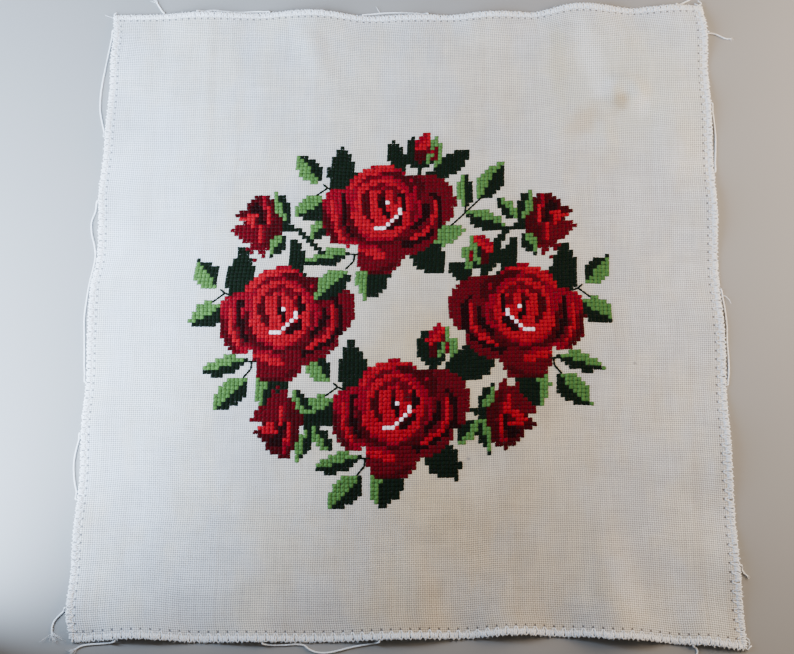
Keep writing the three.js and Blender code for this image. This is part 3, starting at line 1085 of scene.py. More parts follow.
@dataclass
class Wreath:
    """The chart: four roses, four half open ones, three buds, and their leaves and stems."""

    cells: dict[tuple[int, int], Floss] = field(default_factory=dict)
    stems: list[list[Point]] = field(default_factory=list)

    def motif(self, x: float, y: float, side: int = 1, rise: int = 1) -> Motif:
        """Starts a motif at a place of the wreath.

        Args:
            x: Its place.
            y: Its place.
            side: -1 for a mirrored one.
            rise: -1 for one that is upside down.

        Returns:
            The empty motif.
        """
        return Motif((x, y), side, rise, self.cells, self.stems)

    def rose(self, work: Motif) -> None:
        """Draws an open rose, whose heart is the motif's origin."""
        self.outer_petals(work)
        self.left_petal(work)
        self.cup(work)
        self.right_folds(work)

    def outer_petals(self, work: Motif) -> None:
        """Draws the petals behind a rose's cup and below it."""
        bright, crimson, deep, maroon = Floss.BRIGHT, Floss.CRIMSON, Floss.DEEP, Floss.MAROON
        work.petal(11.4, 1.0, 6.8, 7.4, deep)
        work.petal(10.6, 4.8, 5.6, 3.8, deep)
        work.petal(6.8, 4.6, 3.2, 4.4, maroon)
        work.fold((9.4, 6.4), (9.8, 3.6), (8.4, 1.4), 1.2, maroon)
        work.petal(2.2, -9.6, 9.4, 4.6, deep)
        work.petal(8.4, -8.8, 5.8, 3.6, deep, turn=24)
        work.petal(-0.6, -12.6, 6.1, 6.0, deep)
        work.petal(-2.7, -14.3, 3.9, 3.9, deep)
        work.fold((-7.2, -7.6), (-3.0, -11.4), (2.4, -9.8), 1.6, maroon)
        work.fold((3.4, -9.4), (6.0, -9.4), (8.6, -7.4), 1.4, maroon)
        work.fold((-6.2, -11.6), (-3.0, -11.9), (-0.3, -13.8), 2.7, bright)
        work.fold((-6.0, -10.9), (-3.4, -10.7), (-1.2, -11.6), 1.1, crimson)
        work.fold((-4.6, -17.6), (-0.4, -18.6), (3.2, -15.8), 1.3, maroon, on=(deep,))

    def left_petal(self, work: Motif) -> None:
        """Draws the folded petal on a rose's left."""
        bright, crimson, deep = Floss.BRIGHT, Floss.CRIMSON, Floss.DEEP
        maroon, shadow = Floss.MAROON, Floss.SHADOW
        work.petal(-10.9, -3.2, 4.4, 7.8, deep)
        work.petal(-12.2, 0.7, 2.9, 3.6, crimson)
        work.petal(-9.6, 1.8, 3.2, 2.8, crimson)
        work.fold((-14.8, -2.4), (-14.6, -6.4), (-12.0, -9.6), 1.2, maroon)
        work.fold((-12.6, 0.6), (-13.2, -5.0), (-10.0, -9.6), 1.1, bright)
        work.fold((-8.6, 2.8), (-9.2, -3.0), (-6.8, -8.2), 1.8, maroon)
        work.fold((-10.0, 2.4), (-11.2, -4.0), (-8.0, -8.2), 1.4, shadow)
        work.fold((-10.4, -9.9), (-9.0, -10.8), (-7.6, -10.0), 1.5, crimson)

    def cup(self, work: Motif) -> None:
        """Draws a rose's top petal, its cup and the rings inside it."""
        bright, crimson, deep = Floss.BRIGHT, Floss.CRIMSON, Floss.DEEP
        maroon, shadow, shine = Floss.MAROON, Floss.SHADOW, Floss.SHINE
        work.petal(-0.6, 3.1, 8.9, 8.3, crimson)
        work.fold((-8.2, 5.4), (-4.6, 11.0), (2.4, 10.4), 2.2, bright, on=(crimson,))
        work.fold((-5.6, 5.4), (-4.4, 8.2), (-1.2, 8.2), 1.5, deep)
        work.fold((0.4, 9.0), (5.6, 9.2), (7.2, 4.2), 2.1, maroon)
        work.petal(-0.7, -1.1, 7.5, 8.8, bright)
        work.fold((-6.9, 4.2), (-8.2, 1.6), (-7.5, -1.6), 1.4, crimson)
        work.fold((-6.6, -6.6), (-1.4, -12.2), (5.4, -7.4), 1.2, crimson, on=(bright,))
        work.fold((-3.8, 4.3), (0.4, 6.9), (4.6, 3.4), 1.9, deep)
        work.fold((-4.2, 3.6), (-5.8, 0.0), (-3.4, -3.6), 1.9, maroon)
        work.dots(((-0.5, 4.7), (0.5, 5.7)), crimson)
        work.fold((4.5, 3.0), (5.3, 1.2), (4.6, -0.9), 1.2, shadow)
        work.fold((-0.4, 3.2), (-1.1, 0.2), (0.7, -2.5), 1.5, shadow)
        work.fold((-0.2, 3.6), (-0.8, 2.8), (-0.9, 1.8), 1.1, maroon)
        work.fold((2.6, 3.2), (3.4, 2.2), (3.0, 1.0), 1.1, deep)
        work.fold((4.2, -2.4), (4.2, -5.0), (1.2, -5.5), 1.9, shadow)
        work.dots(((1.5, -4.7), (2.5, -3.7)), maroon)
        work.dots(((3.5, -0.7), (3.5, -1.7), (2.5, -2.7), (1.5, -3.7), (0.5, -4.7)), shine)
        work.dots(((-0.5, -5.7), (-1.5, -5.7), (-2.5, -5.7), (0.5, 0.6)), shine)

    def right_folds(self, work: Motif) -> None:
        """Draws the folds of the petals on a rose's right."""
        bright, crimson, shadow = Floss.BRIGHT, Floss.CRIMSON, Floss.SHADOW
        work.fold((8.6, 1.0), (9.4, -2.4), (7.3, -5.2), 1.2, crimson)
        work.fold((10.5, 0.4), (11.4, -3.2), (7.4, -6.2), 1.8, shadow)
        work.fold((12.6, 1.6), (13.4, -3.8), (10.6, -6.8), 1.2, bright)
        work.fold((11.2, -6.0), (9.2, -8.6), (6.6, -9.8), 1.8, bright)
        work.fold((12.3, 3.0), (15.0, 3.2), (13.9, -5.6), 1.5, shadow)
        work.fold((12.4, -7.2), (9.2, -9.8), (6.0, -11.1), 1.4, shadow)
        work.petal(5.7, -10.8, 1.3, 1.0, shadow)

    def leaves(self, work: Motif, corner: bool) -> None:
        """Draws the leaves and stems on a rose's outer side.

        Args:
            work: The rose's motif.
            corner: Whether a dark leaf shows under its inner corner.
        """
        light, dark = Floss.LIGHT_GREEN, Floss.DARK_GREEN
        work.leaf((-10.0, 1.0), (-11.0, 16.2), 7.2, dark, dark, full=0.48, nib=0.1)
        work.leaf((-16.3, 6.2), (-22.0, 13.2), 6.0, light, dark, full=0.42, rib=-0.15, nib=0.06)
        work.leaf((-14.2, 1.2), (-22.3, -3.2), 6.6, dark, light, full=0.5, rib=0.05)
        work.stem((-12.9, 4.1), (-14.0, 4.6), (-17.1, 2.2))
        work.stem((-14.0, 4.6), (-15.2, 5.6))
        work.leaf((-0.6, -14.0), (-3.8, -25.0), 8.4, dark, light, full=0.5, rib=-0.3, nib=0.12)
        self.leaf_pair(work)
        if corner:
            work.leaf((6.6, -8.0), (14.9, -18.4), 8.0, dark, dark, full=0.55, nib=0.06)

    def leaf_pair(self, work: Motif) -> None:
        """Draws the two leaves on one stem at a rose's lower outer side."""
        light, dark = Floss.LIGHT_GREEN, Floss.DARK_GREEN
        work.leaf((-8.4, -12.6), (-19.2, -15.8), 4.8, dark, light, full=0.5, rib=0.05, nib=0.06)
        work.leaf((-8.3, -17.4), (-15.8, -25.0), 6.6, dark, light, full=0.44, rib=0.05, nib=0.06)
        work.stem((-6.0, -13.1), (-9.2, -13.1))
        work.stem((-7.2, -13.1), (-7.4, -15.0), (-9.2, -17.2))

    def bud(self, work: Motif, wide: bool) -> None:
        """Draws a bud and its two leaves above a rose's inner side.

        Args:
            work: The rose's motif.
            wide: Whether its outer leaf is the larger one.
        """
        light, dark = Floss.LIGHT_GREEN, Floss.DARK_GREEN
        if wide:
            work.leaf((12.6, 8.2), (21.2, 14.8), 6.0, dark, dark, full=0.5, nib=0.06)
            work.fold((8.6, 8.0), (11.0, 8.2), (14.0, 9.0), 1.4, dark)
        else:
            work.leaf((12.0, 7.8), (17.8, 12.6), 4.2, dark, dark, full=0.6, nib=0.1)
            work.fold((8.6, 8.0), (11.0, 8.2), (13.4, 8.8), 1.4, dark)
        work.fold((8.2, 5.0), (8.8, 8.0), (9.2, 10.5), 1.6, dark)
        work.petal(8.9, 13.0, 3.7, 3.0, dark)
        work.fold((6.4, 12.4), (5.8, 15.4), (6.9, 18.4), 2.3, dark)
        work.petal(12.4, 14.7, 1.5, 2.3, Floss.DEEP)
        work.fold((12.6, 17.4), (11.8, 15.4), (10.9, 12.6), 1.1, light)
        work.fold((13.2, 11.4), (14.4, 13.6), (14.0, 16.8), 1.1, light)
        work.dots(((12.7, 18.0), (12.7, 19.0), (11.7, 18.0)), light)
        work.petal(9.0, 14.2, 1.4, 2.3, Floss.MAROON)
        work.fold((11.0, 19.3), (9.8, 17.4), (8.1, 15.9), 2.9, Floss.BRIGHT)
        work.fold((10.4, 19.7), (9.0, 18.6), (8.2, 17.2), 1.2, Floss.CRIMSON)
        work.dots(((12.4, 14.7),), Floss.CRIMSON)

    def bud_leaf(self, work: Motif) -> None:
        """Draws the dark leaf on a bud's left."""
        work.leaf((4.2, 8.6), (1.8, 18.6), 4.4, Floss.DARK_GREEN, Floss.DARK_GREEN, full=0.5, nib=0.1)
        work.fold((5.6, 7.6), (4.8, 9.0), (4.0, 11.0), 1.6, Floss.DARK_GREEN)

    def half_open(self, work: Motif) -> None:
        """Draws a half open rose, left of its green cup at the motif's origin."""
        bright, crimson, deep = Floss.BRIGHT, Floss.CRIMSON, Floss.DEEP
        maroon, shadow = Floss.MAROON, Floss.SHADOW
        work.petal(-6.0, 3.4, 4.3, 5.0, maroon)
        work.petal(-5.2, -1.6, 4.5, 4.3, deep)
        work.leaf((-4.0, 2.0), (-12.8, 2.7), 5.6, maroon, maroon, full=0.5)
        work.leaf((-4.5, -4.0), (-13.6, -0.7), 5.2, deep, deep, full=0.4)
        work.petal(-5.5, 6.9, 2.1, 1.8, maroon)
        work.leaf((-6.4, -2.5), (-8.9, -7.6), 3.0, deep, deep, full=0.6)
        work.leaf((-5.0, -3.0), (-5.9, -8.8), 2.4, deep, deep)
        work.dots(((-7.0, -9.0),), deep)
        work.petal(-2.5, -0.9, 1.9, 2.7, maroon)
        work.petal(-7.4, 4.6, 1.5, 1.3, shadow)
        work.fold((-6.6, 4.8), (-6.2, 2.6), (-5.9, 0.6), 1.2, shadow)
        work.fold((-10.9, 1.7), (-9.0, 2.3), (-7.0, 2.6), 1.9, bright)
        work.fold((-9.8, 1.4), (-8.8, 0.8), (-8.0, 0.0), 2.1, bright)
        work.fold((-5.3, 7.2), (-5.1, 5.6), (-4.8, 4.0), 1.3, crimson)
        work.fold((-4.8, 4.6), (-4.6, 2.6), (-4.6, 0.6), 1.2, bright)
        work.fold((-6.2, 0.0), (-6.4, -2.0), (-6.7, -3.9), 1.5, bright)
        work.fold((-4.0, -0.8), (-3.8, -3.0), (-4.8, -5.2), 1.2, maroon)
        work.petal(-0.2, 0.0, 1.2, 1.8, Floss.DARK_GREEN)

    def sprigs(self) -> None:
        """Draws the half open roses with their leaves and stems."""
        light, dark = Floss.LIGHT_GREEN, Floss.DARK_GREEN
        upper = (self.motif(-29.6, 25.2), self.motif(29.6, 25.2, side=-1))
        lower = (self.motif(-22.6, -25.6, rise=-1), self.motif(19.2, -24.4, side=-1, rise=-1))
        for work in upper + lower:
            self.half_open(work)
        for work in upper:
            work.leaf((0.4, 1.0), (-2.0, 9.0), 4.0, light, dark, full=0.5, rib=0.1)
            work.leaf((-0.4, -2.4), (-3.8, -8.6), 3.8, dark, light)
            work.fold((0.0, 0.0), (3.4, -1.2), (5.4, -3.6), 1.5, dark)
        upper[0].fold((5.0, -3.4), (6.6, -5.0), (9.2, -7.4), 1.7, dark)
        upper[1].fold((5.0, -3.4), (5.6, -4.6), (6.4, -6.4), 1.7, dark)
        upper[1].leaf((1.6, 1.2), (5.4, 7.0), 3.8, light, dark, full=0.55)
        for work in lower:
            work.leaf((0.6, 1.0), (-2.0, 9.4), 3.6, light, dark)
            work.leaf((1.2, 0.8), (5.4, 6.8), 4.0, light, dark, full=0.55)
            work.leaf((0.2, -1.6), (-3.2, -7.8), 3.6, dark, light)
        lower[0].fold((0.2, -0.3), (3.0, -0.3), (5.8, -0.3), 1.1, dark)
        lower[0].fold((0.2, 0.6), (3.0, 0.6), (5.6, 0.6), 1.1, dark)
        lower[1].fold((0.0, 0.0), (1.0, -0.6), (2.6, -1.8), 1.4, dark)

    def draw(self) -> None:
        """Draws the whole chart, from what lies behind to what lies in front."""
        light, dark = Floss.LIGHT_GREEN, Floss.DARK_GREEN
        top, left = self.motif(-5.0, 31.0), self.motif(-29.4, 2.7)
        right, bottom = self.motif(29.6, 2.7, side=-1), self.motif(-1.5, -21.3)
        for work in (top, left, right, bottom):
            self.leaves(work, corner=work is not left)
        top.leaf((-14.2, -4.6), (-18.7, -9.9), 4.2, dark, light)
        top.leaf((11.6, -9.6), (20.4, -6.4), 5.6, light, light, full=0.4)
        for work in (top, left, right):
            self.bud_leaf(work)
        self.bud(top, wide=True)
        self.bud(right, wide=False)
        self.bud(bottom, wide=True)
        bottom.leaf((12.0, 9.4), (24.0, 11.0), 7.4, dark, dark)
        for work in (left, right, bottom, top):
            self.rose(work)
        self.leaf_pair(top)
        free = self.motif(0.0, 0.0)
        free.leaf((15.7, 30.2), (15.3, 39.6), 4.2, light, dark, full=0.5, rib=-0.1)
        free.leaf((19.2, 32.2), (25.2, 42.2), 6.6, light, dark, full=0.5, rib=0.1)
        free.leaf((15.8, 28.6), (25.6, 24.2), 5.2, light, dark, rib=0.1, nib=0.12)
        free.stem((11.6, 25.2), (15.3, 28.8), (19.6, 32.8))
        free.stem((15.3, 28.8), (15.6, 31.0))
        self.sprigs()
        self.fill_gaps()

    def fill_gaps(self) -> None:
        """Works the single empty places that the shapes leave between them."""
        for i, j in list(self.cells):
            for gap in ((i + 1, j), (i, j + 1)):
                beside = [self.cells.get((gap[0] + di, gap[1] + dj)) for di, dj in AROUND]
                if gap not in self.cells and beside.count(None) == 0:
                    self.cells[gap] = self.cells[(i, j)]
CORNERS = ((1.0, 1.0), (1.0, -1.0), (-1.0, 1.0), (-1.0, -1.0))




@dataclass
class GroundCloth:
    """The evenweave itself, one sheet, cut raw just inside the overcasting's outer turns."""

    form: ClothForm
    wreath: "Wreath"
    raw_inset: Point = (2.0, 1.0)
    cell: float = 2.0

    def covered(self, flat: np.ndarray) -> np.ndarray:
        """How far the places of the cloth lie under dense stitching, where the cloth's material paints
        shade.

        Args:
            flat: Rows of nominal x, y and z.

        Returns:
            1 where stitches lie all round a place, and 0 elsewhere.
        """
        stitched = np.rint((flat[:, None, :2] - WREATH_CENTRE + np.array(CORNERS)) / STITCH).astype(int)
        worked = self.wreath.cells
        return np.array([all(tuple(cell) in worked for cell in cells) for cells in stitched], float)

    def build(self, material: bpy.types.Material) -> bpy.types.Object:
        """Makes the sheet from a flat grid, shapes it, and gives it its thickness.

        Args:
            material: Its finish.

        Returns:
            The cloth.
        """
        width, length = CLOTH_WIDTH - 2 * self.raw_inset[0], CLOTH_LENGTH - 2 * self.raw_inset[1]
        columns, rows = round(width / self.cell), round(length / self.cell)
        bpy.ops.object.select_all(action="DESELECT")
        bpy.ops.mesh.primitive_grid_add(x_subdivisions=columns, y_subdivisions=rows, size=1, calc_uvs=False)
        cloth = bpy.context.object
        cloth.name = "evenweave_cloth"
        flat = vertex_places(cloth.data) * (width, length, 1)
        cloth.data.vertices.foreach_set("co", self.form.settle(flat).ravel())
        corners = np.empty(len(cloth.data.loops), dtype=np.int64)
        cloth.data.loops.foreach_get("vertex_index", corners)
        layer = cloth.data.uv_layers.new(name="Thread")
        layer.data.foreach_set("uv", flat[corners, :2].astype(np.float32).ravel())
        shade = cloth.data.attributes.new("covered", "FLOAT", "POINT")
        shade.data.foreach_set("value", self.covered(flat).astype(np.float32))
        cloth.data.update()
        select_only(cloth)
        bpy.ops.object.shade_smooth()
        wall = cloth.modifiers.new("thickness", "SOLIDIFY")
        wall.thickness = CLOTH_THICKNESS * MM
        wall.offset = -1.0
        bpy.ops.object.modifier_apply(modifier=wall.name)
        cloth.data.materials.append(material)
        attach(cloth, "root")
        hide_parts("ground_cloth")
        return cloth


@dataclass
class StitchLeg:
    """One leg of a cross stitch, as rows of how it runs from hole to hole.

    Each row has its share of the way, its foot above the cloth, its thickness and width.
    """

    shape: Shape
    rows: np.ndarray

    def lay(self, start: np.ndarray, end: np.ndarray, spread: np.ndarray, lift: np.ndarray) -> np.ndarray:
        """Lays copies of the leg between pairs of holes.

        Args:
            start: The first hole of each, as rows of nominal x and y.
            end: The second hole of each.
            spread: How wide each is, about 1.
            lift: How high each stands, about 1.

        Returns:
            For each copy, its points as nominal x, y and height.
        """
        share, sideways, up = self.shape.points.T
        station = np.rint(share * (len(self.rows) - 1)).astype(int)
        run, foot, thick, wide = self.rows[station].T
        way = end - start
        across = np.stack([-way[:, 1], way[:, 0]], axis=1)
        across /= np.linalg.norm(across, axis=1, keepdims=True)
        flat = start[:, None] + way[:, None] * run[None, :, None]
        flat = flat + across[:, None] * (sideways * wide)[None, :, None] * spread[:, None, None]
        height = foot[None] + up[None] * thick[None] * lift[:, None]
        return np.concatenate([flat, height[..., None]], axis=-1)


@dataclass
class Embroidery:
    """The wreath's stitches: crosses, the bars on the back, and the back-stitched stems."""

    form: ClothForm
    wreath: Wreath
    seed: int = 11
    section: tuple[Point, ...] = ((0.0, 0.74), (-0.27, 1.0), (-0.5, 0.0), (0.5, 0.0), (0.27, 1.0))
    under_rows: tuple = ((0.0, -0.34, 0.26, 0.6), (0.2, -0.02, 0.36, 1.34), (0.8, -0.02, 0.36, 1.34),
                         (1.0, -0.34, 0.26, 0.6))
    over_rows: tuple = ((0.0, -0.32, 0.26, 0.6), (0.18, 0.0, 0.36, 1.3), (0.5, 0.2, 0.38, 1.36),
                        (0.82, 0.0, 0.36, 1.3), (1.0, -0.32, 0.26, 0.6))
    bar_rows: tuple = ((0.0, 0.1, -0.15, 0.4), (0.5, 0.0, -0.2, 0.8), (1.0, 0.1, -0.15, 0.4))
    stem_rows: tuple = ((0.0, -0.15, 0.4, 0.9), (0.5, 0.12, 0.46, 1.15), (1.0, -0.15, 0.4, 0.9))

    def legs(self, rows: tuple, section: tuple[Point, ...]) -> StitchLeg:
        """Models a leg for a table of rows."""
        return StitchLeg(model_strand("stitch_leg", section, len(rows)), np.array(rows))

    def centres(self, floss: Floss) -> np.ndarray:
        """Nominal centres of the crosses in one colour."""
        cells = sorted(cell for cell, colour in self.wreath.cells.items() if colour is floss)
        return np.array(cells, dtype=float).reshape(-1, 2) * STITCH + WREATH_CENTRE

    def crosses(self, floss: Floss, rng: np.random.Generator) -> Shape:
        """Works all the crosses in one colour.

        Args:
            floss: The colour.
            rng: The source of their unevenness.

        Returns:
            Their under legs and over legs.
        """
        middle = self.centres(floss)
        half = STITCH / 2
        passes = []
        for rows, turn in ((self.under_rows, -1.0), (self.over_rows, 1.0)):
            leg = self.legs(rows, self.section)
            shift = rng.normal(0, 0.05, middle.shape)
            wander = rng.normal(0, 0.06, (2, *middle.shape))
            start = middle + (-half, -half * turn) + shift + wander[0]
            end = middle + (half, half * turn) + shift + wander[1]
            spread = 1 + rng.normal(0, 0.06, len(middle))
            lift = 1 + rng.normal(0, 0.08, len(middle))
            points = leg.lay(start, end, spread, lift)
            passes.append(leg.shape.repeated(points, rng.uniform(0, 1, len(middle))))
        return Shape.joined(passes)

    def back_bars(self, floss: Floss, rng: np.random.Generator) -> Shape:
        """Works the upright bars that the crosses leave on the back.

        Args:
            floss: The colour.
            rng: The source of their unevenness.

        Returns:
            The bars.
        """
        middle = self.centres(floss)
        leg = self.legs(self.bar_rows, ((0.0, 1.0), (0.5, 0.0), (-0.5, 0.0)))
        wander = rng.normal(0, 0.08, (2, *middle.shape))
        start, end = middle + (-1.0, -1.0) + wander[0], middle + (-1.0, 1.0) + wander[1]
        points = leg.lay(start, end, 1 + rng.normal(0, 0.1, len(middle)), np.ones(len(middle)))
        points[..., 2] -= CLOTH_THICKNESS
        return leg.shape.repeated(points, rng.uniform(0, 1, len(middle)))

    def stems(self, rng: np.random.Generator) -> Shape:
        """Works the thin stems in back stitch.

        Args:
            rng: The source of their unevenness.

        Returns:
            The stems.
        """
        starts, ends = [], []
        for line in self.wreath.stems:
            for first, last in zip(line, line[1:]):
                a, b = (np.array(point) * STITCH + WREATH_CENTRE for point in (first, last))
                count = max(1, round(float(np.linalg.norm(b - a)) / 2.4))
                places = a + (b - a) * np.linspace(0, 1, count + 1)[:, None]
                starts.extend(places[:-1])
                ends.extend(places[1:])
        leg = self.legs(self.stem_rows, self.section)
        count = len(starts)
        points = leg.lay(np.array(starts), np.array(ends), np.ones(count), 1 + rng.normal(0, 0.05, count))
        return leg.shape.repeated(points, rng.uniform(0, 0.6, count))

    def settled(
        self, shape: Shape, name: str, material: bpy.types.Material,
    ) -> bpy.types.Object:
        """Lays worked stitches on the cloth and makes them one piece.

        Args:
            shape: The stitches, in nominal places.
            name: Name of the piece.
            material: Their finish.

        Returns:
            The piece.
        """
        shape.points = self.form.settle(shape.points)
        piece = shape.make(name, material)
        return piece

    def build(self) -> list[bpy.types.Object]:
        """Works the whole wreath.

        Returns:
            Its pieces, a front and a back for each colour, and the stems.
        """
        rng = np.random.default_rng(self.seed)
        pieces = []
        for floss in Floss:
            if not len(self.centres(floss)):
                continue
            material = FlossFinish(floss).material()
            front, back = self.crosses(floss, rng), self.back_bars(floss, rng)
            pieces.append(self.settled(front, f"crosses_{floss.title}", material))
            pieces.append(self.settled(back, f"back_{floss.title}", material))
            if floss is Floss.DARK_GREEN:
                pieces.append(self.settled(self.stems(rng), "back_stitched_stems", material))
            LOG.info("worked %d crosses in %s", len(self.centres(floss)), floss.title)
        return pieces


@dataclass(frozen=True)
class EdgeStitch:
    """How one edge is overcast: the pitch of its stitches, and how far in they reach."""

    side: Side
    pitch: float
    phase: float
    deep: float = 3.9
    shallow: float = 1.9


# Stray hairs of thread at the rim, as points of the frame, each with its radius.
STRAYS = (
    (((155.2, 5.0), (157.6, 4.1), (159.0, 2.2), (159.6, 0.4)), 0.18),
    (((-13.9, 163.4), (-14.9, 165.2), (-16.0, 167.2)), 0.16),
    (((-155.2, 160.6), (-157.6, 161.2), (-159.5, 162.0)), 0.15),
    (((150.6, -160.4), (153.3, -160.0), (155.2, -161.2), (155.6, -163.2)), 0.36),
    (((150.2, -161.6), (153.4, -161.4), (155.4, -162.9), (154.8, -164.6)), 0.34),
    (((150.6, -163.0), (152.8, -163.4), (154.2, -164.4), (153.6, -165.2)), 0.3),
)
EDGE_STITCHES = (
    EdgeStitch(Side.LEFT, 3.7, 0.4, 3.2, 1.7),
    EdgeStitch(Side.RIGHT, 4.2, 0.9, 4.2, 2.0),
    EdgeStitch(Side.TOP, 3.4, 0.2, 3.1, 1.6),
    EdgeStitch(Side.BOTTOM, 4.4, 1.3, 4.0, 2.0),
)


@dataclass
class Overcasting:
    """The white zigzag over the raw edges, and the ends of the weave that it gathers."""

    form: ClothForm
    thread_radius: float = 0.28
    end_radius: float = 0.46
    hole_setback: float = 0.35
    corner_clearance: float = 2.0
    seed: int = 23

    def needle_rows(self) -> tuple[NeedleRow, ...]:
        """The rows of holes that the stitches pass through."""
        return tuple(
            NeedleRow(edge.side, edge.deep + self.hole_setback, edge.pitch, edge.phase)
            for edge in EDGE_STITCHES)

    def turns(self, edge: EdgeStitch) -> np.ndarray:
        """Places of the inner holes along an edge."""
        half = edge.side.half() - self.corner_clearance
        first = math.ceil((-half - edge.phase) / edge.pitch)
        last = math.floor((half - edge.phase) / edge.pitch)
        return np.arange(first, last + 1) * edge.pitch + edge.phase

    def zigzag(
        self, edge: EdgeStitch, reach: float, shift: float, face: int, rng: np.random.Generator,
    ) -> Shape:
        """Runs one zigzag along an edge, on the face or the back.

        Args:
            edge: How the edge is stitched.
            reach: How far in this zigzag reaches.
            shift: How far along it is moved, as a share of the pitch.
            face: 1 on the face and -1 on the back.
            rng: The source of its unevenness.

        Returns:
            The thread.
        """
        # Share of the pitch, share of the reach, and height over the face or under the back.
        period = (
            (0.0, 1.0, -0.35), (0.1, 0.86, 0.02), (0.25, 0.5, 0.05), (0.4, 0.12, 0.04),
            (0.5, -0.06, -0.34), (0.6, 0.12, 0.04), (0.75, 0.5, 0.05), (0.9, 0.86, 0.02))
        places = self.turns(edge) + shift * edge.pitch
        table = np.array(period)
        count = len(places)
        along = places[:, None] + table[None, :, 0] * edge.pitch + rng.normal(0, 0.10, (count, len(table)))
        reached = table[None, :, 1] * reach * (1 + rng.normal(0, 0.04, (count, 1)))
        inward = reached + rng.normal(0, 0.07, along.shape)
        outer = np.abs(table[None, :, 1]) < 0.1
        inward = np.where(outer, inward - 0.15 + rng.normal(0, 0.16, (count, 1)), inward)
        raised = table[None, :, 2] * (1 + rng.normal(0, 0.12, along.shape))
        lift = np.where(table[None, :, 2] > 0, raised, -0.3)
        if face < 0:
            lift = np.where(table[None, :, 2] > 0, -CLOTH_THICKNESS - 0.02, -0.3)
        x, y = edge.side.place(along.ravel(), inward.ravel())
        path = self.form.settle(np.stack([x, y, np.broadcast_to(lift, along.shape).ravel()], axis=1))
        radius = self.thread_radius * (1 if face > 0 else 0.8) * (1 + rng.normal(0, 0.08, len(path)))
        path[:, 2] = np.maximum(path[:, 2], radius * MM)
        return sweep(path, radius * MM, 5, float(rng.uniform(0.3, 1)))

    def weave_ends(self, edge: EdgeStitch, rng: np.random.Generator) -> Shape:
        """Gathers the cut ends of the weave towards the outer turns of the stitches.

        Args:
            edge: How the edge is stitched.
            rng: The source of their unevenness.

        Returns:
            The ends.
        """
        half = edge.side.half()
        along = np.arange(-half + 1.6, half - 1.2, 1.0)
        along = along + rng.normal(0, 0.08, len(along))
        outer = (np.round((along - edge.phase) / edge.pitch - 0.5) + 0.5) * edge.pitch + edge.phase
        pull = rng.uniform(0.12, 0.36, len(along))
        length = rng.uniform(-0.45, 0.25, len(along))
        ends = []
        for place, target, share, out in zip(along, outer, pull, length):
            run = np.array((0.0, 0.45, 0.8, 1.0))
            inward = 2.4 + (out - 2.4) * run
            sideways = place + (target - place) * share * run**1.5
            lift = np.array((-0.16, -0.14, -0.14, -0.2)) + rng.normal(0, 0.04, 4)
            x, y = edge.side.place(sideways, inward)
            radius = self.end_radius * np.array((1.0, 1.04, 1.0, 0.6)) * rng.uniform(0.86, 1.1)
            path = self.form.settle(np.stack([x, y, lift], axis=1))
            path[:, 2] = np.maximum(path[:, 2], radius * MM)
            ends.append(sweep(path, radius * MM, 5, float(rng.uniform(0, 1))))
        return Shape.joined(ends)

    def fluff(self, edge: EdgeStitch, rng: np.random.Generator) -> Shape:
        """Adds the fine hairs that stand out of the thread along an edge.

        Args:
            edge: How the edge is stitched.
            rng: The source of their unevenness.

        Returns:
            The hairs.
        """
        half = edge.side.half()
        hairs = []
        for place in np.arange(-half + 1, half - 1, 1.1):
            start = np.array((place + rng.normal(0, 0.4), rng.uniform(-0.2, 3.6)))
            heading = rng.uniform(0, 2 * math.pi)
            bow = rng.normal(0, 0.9)
            run = np.linspace(0, rng.uniform(0.9, 2.2), 4)
            turn = heading + bow * run
            steps = np.stack([np.cos(turn), np.sin(turn)], axis=1) * (run[1] - run[0])
            route = start + np.concatenate([[(0, 0)], np.cumsum(steps[1:], axis=0)])
            inward = np.maximum(route[:, 1], -0.9)
            lift = 0.3 + run * rng.uniform(0.0, 0.3) - np.where(inward < 0, 0.3, 0)
            x, y = edge.side.place(route[:, 0], inward)
            path = self.form.settle(np.stack([x, y, lift], axis=1))
            hairs.append(sweep(path, np.array((0.05, 0.045, 0.035, 0.02)) * MM, 3, 1.0))
        return Shape.joined(hairs)

    def strays(self) -> Shape:
        """Adds the few longer hairs that stick out past the rim."""
        hairs = []
        for line, radius in STRAYS:
            path = np.array([(x, y, 0.6 + 0.1 * number) for number, (x, y) in enumerate(line)]) * MM
            width = radius * np.linspace(1.0, 0.5, len(path)) * MM
            hairs.append(sweep(path, width, 5, 1.0))
        return Shape.joined(hairs)

    def build(self) -> list[bpy.types.Object]:
        """Overcasts all four edges.

        Returns:
            The zigzag threads, the weave's ends and the fluff.
        """
        rng = np.random.default_rng(self.seed)
        white = SewingThreadFinish().material("overcasting_thread")
        cut = SewingThreadFinish(colour=(0.90, 0.91, 0.93)).material("cut_weave")
        threads, ends, fluff = [], [], [self.strays()]
        for edge in EDGE_STITCHES:
            threads.append(self.zigzag(edge, edge.deep, 0.0, 1, rng))
            threads.append(self.zigzag(edge, edge.shallow, 0.5, 1, rng))
            threads.append(self.zigzag(edge, edge.deep, 0.0, -1, rng))
            ends.append(self.weave_ends(edge, rng))
            fluff.append(self.fluff(edge, rng))
        pieces = [
            Shape.joined(threads).make("overcast_stitches", white),
            Shape.joined(ends).make("weave_ends", cut),
            Shape.joined(fluff).make("thread_fluff", white),
        ]
        for piece in pieces:
            LOG.info("%s has %d faces", piece.name, len(piece.data.polygons))
        return pieces


